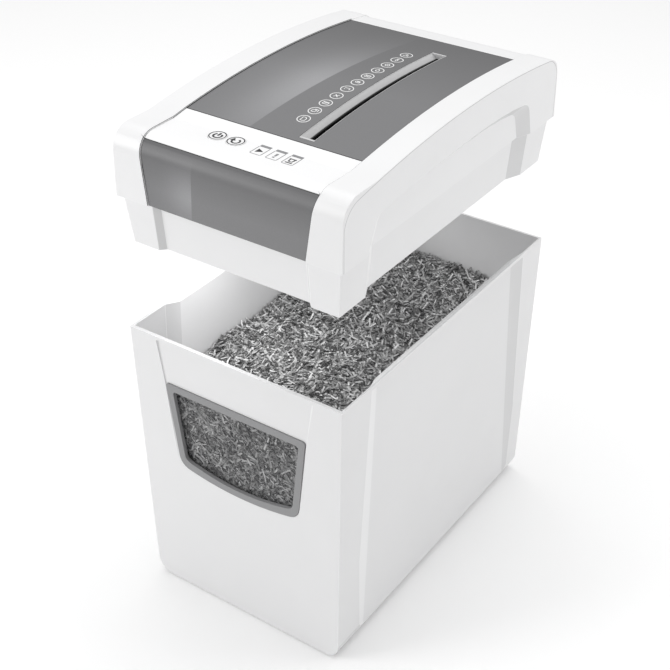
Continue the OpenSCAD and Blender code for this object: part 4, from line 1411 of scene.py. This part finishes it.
@dataclass
class PanelMarks:
    """Marks on the panels: pictogram rings, and the indicators' frames and symbols."""

    icon_x: float = 10.2 * MM
    icon_first: float = -86 * MM
    icon_pitch: float = 17.35 * MM
    icon_r: float = 6.1 * MM
    icon_line: float = 0.8 * MM
    glyph: float = 3.7 * MM
    frame_low: float = -157.8 * MM
    frame_high: float = -143.2 * MM
    symbol_y: float = -150.6 * MM
    crown: Crown = field(default_factory=Crown)
    middles: tuple[float, ...] = (9.6 * MM, 26.6 * MM, 43.6 * MM)

    def ring_tree(self) -> bpy.types.NodeTree:
        """The tree that lays a row of rings along the crown."""
        graph, take = opened("ring row", (
            ("Geometry", "NodeSocketGeometry"), ("Ring", "NodeSocketObject"),
            ("Count", "NodeSocketInt"), ("First", "NodeSocketFloat"),
            ("Pitch", "NodeSocketFloat"), ("Across", "NodeSocketFloat"),
            ("Arc radius", "NodeSocketFloat"), ("Arc middle", "NodeSocketFloat"),
            ("Arc foot", "NodeSocketFloat"), ("Ink", "NodeSocketMaterial")))
        row = graph.out("GeometryNodeMeshLine", {"mode": "OFFSET"}, {"Count": take("Count")})
        index = graph.out("GeometryNodeInputIndex")
        y = take("First") + index * take("Pitch")
        off = y - take("Arc middle")
        radius = take("Arc radius")
        z = take("Arc foot") + (radius * radius - off * off).root()
        spot = graph.out("ShaderNodeCombineXYZ", None, {0: take("Across"), 1: y, 2: z})
        placed = graph.out("GeometryNodeSetPosition", None, {"Geometry": row, "Position": spot})
        lean = -(off / radius)
        facing = graph.out("ShaderNodeCombineXYZ", None, {0: lean, 1: 0.0, 2: 0.0})
        ring = graph.out("GeometryNodeObjectInfo", None, {"Object": take("Ring")}, "Geometry")
        rings = graph.out("GeometryNodeInstanceOnPoints", None,
                          {"Points": placed, "Instance": ring, "Rotation": graph.out(
                              "FunctionNodeEulerToRotation", None, {0: facing})})
        whole = graph.out("GeometryNodeRealizeInstances", None, {0: rings})
        done = graph.out("GeometryNodeSetMaterial", None,
                         {"Geometry": whole, "Material": take("Ink")})
        graph.add("NodeGroupOutput", None, {0: done})
        return graph.tree

    def icon_rings(self) -> bpy.types.Object:
        """The rings round the pictograms."""
        one = MarkSheet("one_ring", lambda x, y: 0.0)
        one.ring((0.0, 0.0), self.icon_r, self.icon_line, steps=32)
        ring = one.piece(WHITE_INK)
        values = {"Ring": ring, "Count": len(Pictogram), "First": self.icon_first,
                  "Pitch": self.icon_pitch, "Across": self.icon_x,
                  "Arc radius": self.crown.radius - self.crown.inset + 0.03 * MM,
                  "Arc middle": self.crown.middle, "Arc foot": self.crown.top - self.crown.radius,
                  "Ink": WHITE_INK.material()}
        made = grown("ring_row", bpy.data.meshes.new("ring_row"), self.ring_tree(), values)
        bpy.data.objects.remove(ring)
        return new_piece("pictogram_rings", made, WHITE_INK, None)

    def pictograms(self) -> bpy.types.Object:
        """The pictograms inside the rings."""
        sheet = MarkSheet("pictograms", self.crown.height)
        for number, sign in enumerate(Pictogram):
            y = self.icon_first + number * self.icon_pitch
            for points in sign.value:
                sheet.stroke([(self.icon_x + px * self.glyph, y + py * self.glyph)
                              for px, py in points], self.icon_line)
        return sheet.piece(WHITE_INK)

    def indicator_frames(self) -> bpy.types.Object:
        """Thin outlines below the three indicators."""
        sheet = MarkSheet("indicator_frames", self.crown.height)
        half, r = 5.8 * MM, 1.2 * MM
        for x in self.middles:
            sheet.stroke([(x - half, self.frame_high), (x - half, self.frame_low + r),
                          (x - half + 0.35 * r, self.frame_low + 0.35 * r),
                          (x - half + r, self.frame_low), (x + half - r, self.frame_low),
                          (x + half - 0.35 * r, self.frame_low + 0.35 * r),
                          (x + half, self.frame_low + r), (x + half, self.frame_high)], 0.7 * MM)
        return sheet.piece(PALE_INK)

    def symbols(self) -> tuple[bpy.types.Object, bpy.types.Object]:
        """The run, fault and bin-full symbols, dark ones and the pale one."""
        dark = MarkSheet("indicator_symbols", self.crown.height)
        pale = MarkSheet("fault_symbol", self.crown.height)
        run, fault, full = self.middles
        y = self.symbol_y
        dark.patch([(run - 2.9 * MM, y - 3.6 * MM), (run + 3.8 * MM, y),
                    (run - 2.9 * MM, y + 3.6 * MM)])
        pale.patch([(fault - 0.9 * MM, y - 1.0 * MM), (fault + 0.9 * MM, y - 1.0 * MM),
                    (fault + 1.3 * MM, y + 4.2 * MM), (fault - 1.3 * MM, y + 4.2 * MM)])
        pale.patch([(fault - 1.1 * MM, y - 4.0 * MM), (fault + 1.1 * MM, y - 4.0 * MM),
                    (fault + 1.1 * MM, y - 2.1 * MM), (fault - 1.1 * MM, y - 2.1 * MM)])
        dark.stroke([(full - 2.6 * MM, y + 3.0 * MM), (full - 1.8 * MM, y - 1.8 * MM),
                     (full + 1.8 * MM, y - 1.8 * MM), (full + 2.6 * MM, y + 3.0 * MM)], 1.4 * MM)
        dark.stroke([(full - 3.6 * MM, y + 3.2 * MM), (full + 3.6 * MM, y + 3.2 * MM)], 1.2 * MM)
        dark.stroke([(full - 3.6 * MM, y - 4.2 * MM), (full + 3.6 * MM, y - 4.2 * MM)], 1.4 * MM)
        return dark.piece(DARK_INK), pale.piece(PALE_INK)

    def build(self) -> None:
        """Makes and places the marks."""
        place_piece(self.icon_rings(), "head", "white_shell")
        place_piece(self.pictograms(), "head", "white_shell")
        place_piece(self.indicator_frames(), "head", "light_pipe")
        dark, pale = self.symbols()
        place_piece(dark, "head", "dark_panel")
        place_piece(pale, "head", "light_pipe")


@dataclass
class Key:
    """A round key: its dished cap with flange and stem, and the mark printed on it."""

    name: str
    node: str
    body: str
    at: Point2
    top: float = HEAD_Z + 65.6 * MM
    radius: float = 8.8 * MM
    ring_line: float = 1.0 * MM

    def cap(self) -> bpy.types.Object:
        """The key's moulding."""
        profile = [(0.0, -0.35), (3.5, -0.32), (6.2, -0.16), (7.8, -0.02), (8.35, -0.02),
                   (8.65, -0.14), (8.8, -0.42), (8.8, -2.35), (9.8, -2.35), (9.9, -2.45),
                   (9.9, -4.3), (9.8, -4.4), (3.1, -4.4), (3.0, -4.5), (3.0, -9.1), (2.9, -9.2),
                   (0.0, -9.2)]
        mesh = turned(self.name + "_cap", [(r * MM, z * MM) for r, z in profile],
                      Vector((*self.at, self.top)))
        return new_piece(self.name + "_cap", mesh, KEY_WHITE)

    def surface(self, x: float, y: float) -> float:
        """Height of the cap's top.

        Args:
            x: Place across.
            y: Place along.

        Returns:
            The height.
        """
        out = math.hypot(x - self.at[0], y - self.at[1]) / MM
        dish = ((0.0, -0.35), (3.5, -0.32), (6.2, -0.16), (7.8, -0.02), (8.9, -0.02))
        for (r0, z0), (r1, z1) in zip(dish, dish[1:]):
            if out <= r1:
                return self.top + (z0 + (z1 - z0) * (out - r0) / (r1 - r0)) * MM
        return self.top

    def mark(self, sheet: MarkSheet) -> None:
        """Draws the key's symbol. Each kind of key has its own.

        Args:
            sheet: The marks to add it to.
        """
        raise NotImplementedError

    def build(self) -> None:
        """Makes and places the key."""
        place_piece(self.cap(), self.body, "white_shell", [self.node])
        sheet = MarkSheet(self.name + "_mark", self.surface)
        sheet.ring(self.at, self.radius - self.ring_line, self.ring_line, steps=56)
        self.mark(sheet)
        place_piece(sheet.piece(DARK_INK), self.body, "dark_panel")


@dataclass
class PowerKey(Key):
    """The key with the standby symbol."""

    def mark(self, sheet: MarkSheet) -> None:
        """An open ring with a bar through its gap."""
        sheet.ring(self.at, 4.0 * MM, 1.9 * MM, 128.0, 284.0, 28)
        x, y = self.at
        sheet.stroke([(x, y + 0.2 * MM), (x, y + 5.6 * MM)], 2.0 * MM)


@dataclass
class ReverseKey(Key):
    """The key with a generic arrow that turns back."""

    def mark(self, sheet: MarkSheet) -> None:
        """Three quarters of a ring with an arrow head at its end."""
        sheet.ring(self.at, 3.8 * MM, 1.8 * MM, 70.0, -258.0, 26)
        x, y = self.at
        sheet.patch([(x - 6.6 * MM, y - 0.2 * MM), (x - 1.2 * MM, y + 0.8 * MM),
                     (x - 4.2 * MM, y + 5.0 * MM)])


@dataclass
class HousingScrews:
    """The cross-head screws that hold the skirt to the cover, seen from below."""

    points: tuple[Point2, ...] = ((-100, -170), (100, -170), (100, 170), (-84, 176))
    head_r: float = 3.6 * MM
    slot_half: float = 0.45 * MM
    slot_reach: float = 2.0 * MM
    slot_deep: float = 1.1 * MM

    def one(self) -> bpy.types.Mesh:
        """A screw with its head down: a domed head with a cross cut in it, and a threaded stem."""
        shape = bmesh.new()
        s, reach = self.slot_half, self.slot_reach
        plus = [(reach, s), (s, s), (s, reach), (-s, reach), (-s, s), (-reach, s), (-reach, -s),
                (-s, -s), (-s, -reach), (s, -reach), (s, -s), (reach, -s)]
        steps = 24
        face_r = 0.72 * self.head_r
        outer = [shape.verts.new((face_r * math.cos(2 * math.pi * i / steps),
                                  face_r * math.sin(2 * math.pi * i / steps), 0.0))
                 for i in range(steps)]
        inner = [shape.verts.new((x, y, 0.0)) for x, y in plus]
        deep = [shape.verts.new((x * 0.7, y * 0.7, self.slot_deep)) for x, y in plus]
        edges = [shape.edges.new((ring[i], ring[(i + 1) % len(ring)]))
                 for ring in (outer, inner) for i in range(len(ring))]
        bmesh.ops.triangle_fill(shape, use_beauty=True, use_dissolve=False, edges=edges)
        for i in range(len(plus)):
            shape.faces.new((inner[i], inner[(i + 1) % 12], deep[(i + 1) % 12], deep[i]))
        shape.faces.new(deep)
        rings = [outer]
        thread = [(1.9 if k % 2 else 1.55, 2.6 + 0.5 * k) for k in range(40)]
        for r, z in [(3.3, 0.25), (3.6, 0.9), (3.6, 2.3), (1.9, 2.3)] + thread:
            rings.append([shape.verts.new((r * MM * math.cos(2 * math.pi * i / steps),
                                           r * MM * math.sin(2 * math.pi * i / steps), z * MM))
                          for i in range(steps)])
        for low, high in zip(rings, rings[1:]):
            for i in range(steps):
                ahead = (i + 1) % steps
                shape.faces.new((low[i], low[ahead], high[ahead], high[i]))
        shape.faces.new(rings[-1])
        bmesh.ops.recalc_face_normals(shape, faces=shape.faces)
        mesh = bpy.data.meshes.new("one_screw")
        shape.to_mesh(mesh)
        shape.free()
        return mesh

    def tree(self) -> bpy.types.NodeTree:
        """The tree that sets a screw at each point."""
        graph, take = opened("set screws", (
            ("Geometry", "NodeSocketGeometry"), ("Screw", "NodeSocketObject"),
            ("Metal", "NodeSocketMaterial"), ("Seed", "NodeSocketInt")))
        spin = graph.add("FunctionNodeRandomValue", {"data_type": "FLOAT"},
                         {2: 0.0, 3: math.pi / 2, "Seed": take("Seed")})
        turn = graph.out("ShaderNodeCombineXYZ", None, {2: Signal(graph.tree, spin.outputs[1])})
        screw = graph.out("GeometryNodeObjectInfo", None, {"Object": take("Screw")}, "Geometry")
        placed = graph.out("GeometryNodeInstanceOnPoints", None,
                           {"Points": take("Geometry"), "Instance": screw,
                            "Rotation": graph.out("FunctionNodeEulerToRotation", None,
                                                  {0: turn})})
        whole = graph.out("GeometryNodeRealizeInstances", None, {0: placed})
        done = graph.out("GeometryNodeSetMaterial", None,
                         {"Geometry": whole, "Material": take("Metal")})
        graph.add("NodeGroupOutput", None, {0: done})
        return graph.tree

    def build(self) -> None:
        """Makes and places the screws."""
        low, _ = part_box("housing_screws")
        spots = [(x * MM, y * MM, low.z) for x, y in self.points]
        screw = bpy.data.objects.new("one_screw", self.one())
        bpy.context.scene.collection.objects.link(screw)
        made = grown("screw_points", mesh_from("screw_points", spots, []), self.tree(),
                     {"Screw": screw, "Metal": SCREW_STEEL.material(), "Seed": 4})
        bpy.data.objects.remove(screw)
        piece = new_piece("skirt_screws", made, SCREW_STEEL)
        place_piece(piece, "head", "screw_steel", ["housing_screws"])


@dataclass
class Works:
    """The cutting block, gears, motor and electrics, which keep their exact shapes."""

    finishes: Mapping[str, Finish] = field(default_factory=lambda: {
        "indicator_light_pipes": LIGHT_PIPE, "control_board": BOARD_GREEN,
        "push_switches": BLACK_PLASTIC, "indicator_leds": LAMP_LENS,
        "board_capacitor": BLUE_CASE, "board_relay": BLUE_CASE, "board_transformer": COIL_TAPE,
        "front_frame_plate": ZINC, "rear_frame_plate": ZINC, "frame_tie_rods": BRIGHT_STEEL,
        "frame_dampers": RUBBER, "frame_screws": SCREW_STEEL, "left_cutter": LEFT_CUTTER,
        "right_cutter": RIGHT_CUTTER, "left_cutter_gear": GEAR_STEEL,
        "right_cutter_gear": GEAR_STEEL, "main_drive_gear": GEAR_STEEL,
        "second_reduction_gear": NYLON, "first_reduction_gear": NYLON,
        "gear_axles": BRIGHT_STEEL, "gear_plate": ZINC, "gear_plate_spacers": BRIGHT_STEEL,
        "shaft_bushes": BRONZE, "left_stripper_comb": BLACK_PLASTIC,
        "right_stripper_comb": BLACK_PLASTIC, "motor_can": MOTOR_STEEL,
        "motor_end_bell": MOTOR_STEEL, "motor_bushes": BRONZE, "motor_rotor": ROTOR,
        "motor_pinion": BRASS, "motor_fan": NYLON, "motor_screws": SCREW_STEEL,
        "thermal_cutout": BLACK_PLASTIC, "paper_sensor_lever": BLACK_PLASTIC,
        "paper_sensor_pin": BRIGHT_STEEL, "paper_sensor_bracket": BLACK_PLASTIC,
        "paper_sensor_switch": BLACK_PLASTIC, "interlock_plunger": PLUNGER_ORANGE,
        "interlock_switch": BLACK_PLASTIC, "cord_gland": RUBBER})

    def dress(self) -> None:
        """Gives each node its finish."""
        for node, finish in self.finishes.items():
            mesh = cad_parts[node].data
            mesh.materials.clear()
            mesh.materials.append(finish.material())
        log.info("works: %d nodes dressed", len(self.finishes))


# ---------- studio ----------


@dataclass
class Studio:
    """Pale floor, soft light and camera."""

    camera_at: tuple[float, float, float] = (0.6505, -0.9630, 1.0326)
    azimuth: float = 34.649
    elevation: float = 33.803
    lens: float = 70.44
    floor_half: float = 6.0

    def floor(self) -> None:
        """A wide pale floor at the object's base."""
        h = self.floor_half
        corners = [(-h, -h, -0.0004), (h, -h, -0.0004), (h, h, -0.0004), (-h, h, -0.0004)]
        mesh = mesh_from("studio_floor", corners, [(0, 1, 2, 3)], recalculate=False)
        new_piece("studio_floor", mesh, FLOOR, None)

    @staticmethod
    def soft_light(name: str, at: Sequence[float], to: Sequence[float], size: float,
                   power: float) -> None:
        """A large square light.

        Args:
            name: Its name.
            at: Its place.
            to: The point it faces.
            size: Length of its side.
            power: Its power in watts.
        """
        data = bpy.data.lights.new(name, "AREA")
        data.shape, data.size, data.energy = "SQUARE", size, power
        lamp = bpy.data.objects.new(name, data)
        lamp.location = at
        lamp.rotation_euler = (Vector(to) - Vector(at)).to_track_quat("-Z", "Y").to_euler()
        bpy.context.scene.collection.objects.link(lamp)

    def sky(self) -> None:
        """Even white surroundings."""
        world = bpy.data.worlds.new("studio surround")
        world.use_nodes = True
        graph = Graph(world.node_tree)
        glow = graph.out("ShaderNodeBackground", None,
                         {"Color": (1.0, 1.0, 1.0, 1.0), "Strength": 0.52})
        graph.add("ShaderNodeOutputWorld", None, {"Surface": glow})
        bpy.context.scene.world = world
        bpy.context.scene.view_settings.view_transform = "Standard"

    def camera(self) -> None:
        """The camera, by the direction it looks from."""
        a, e = math.radians(self.azimuth), math.radians(self.elevation)
        right = Vector((math.cos(a), math.sin(a), 0.0))
        back = Vector((math.sin(a) * math.cos(e), -math.cos(a) * math.cos(e), math.sin(e)))
        up = back.cross(right)
        data = bpy.data.cameras.new("studio camera")
        data.lens, data.sensor_width, data.clip_end = self.lens, 36.0, 100.0
        camera = bpy.data.objects.new("studio camera", data)
        camera.matrix_world = Matrix((right, up, back)).transposed().to_4x4()
        camera.location = self.camera_at
        bpy.context.scene.collection.objects.link(camera)
        bpy.context.scene.camera = camera

    def build(self) -> None:
        """Sets the studio up."""
        self.floor()
        self.sky()
        self.soft_light("left key light", (-1.7, -1.9, 1.3), (0, 0, 0.3), 1.2, 24.0)
        self.soft_light("right fill light", (1.3, 0.7, 0.95), (0, 0, 0.45), 0.7, 4.2)
        self.soft_light("top light", (-0.3, 0.7, 3.6), (-0.2, 0.5, 0.0), 3.6, 72.0)
        self.soft_light("light below the head", (-0.045, -0.10, 0.38), (-0.05, -0.105, 0.25),
                        0.14, 0.15)
        self.camera()


def main() -> None:
    """Builds every piece, then the studio."""
    BinAssembly().build()
    ShredPile().build()
    HeadShell().build()
    PanelMarks().build()
    PowerKey("power_key", "power_button", "power_key", (-39.5 * MM, -147.5 * MM)).build()
    ReverseKey("reverse_key", "reverse_button", "reverse_key", (-19 * MM, -147.5 * MM)).build()
    HousingScrews().build()
    Works().dress()
    Studio().build()


if __name__ == "__main__":
    main()
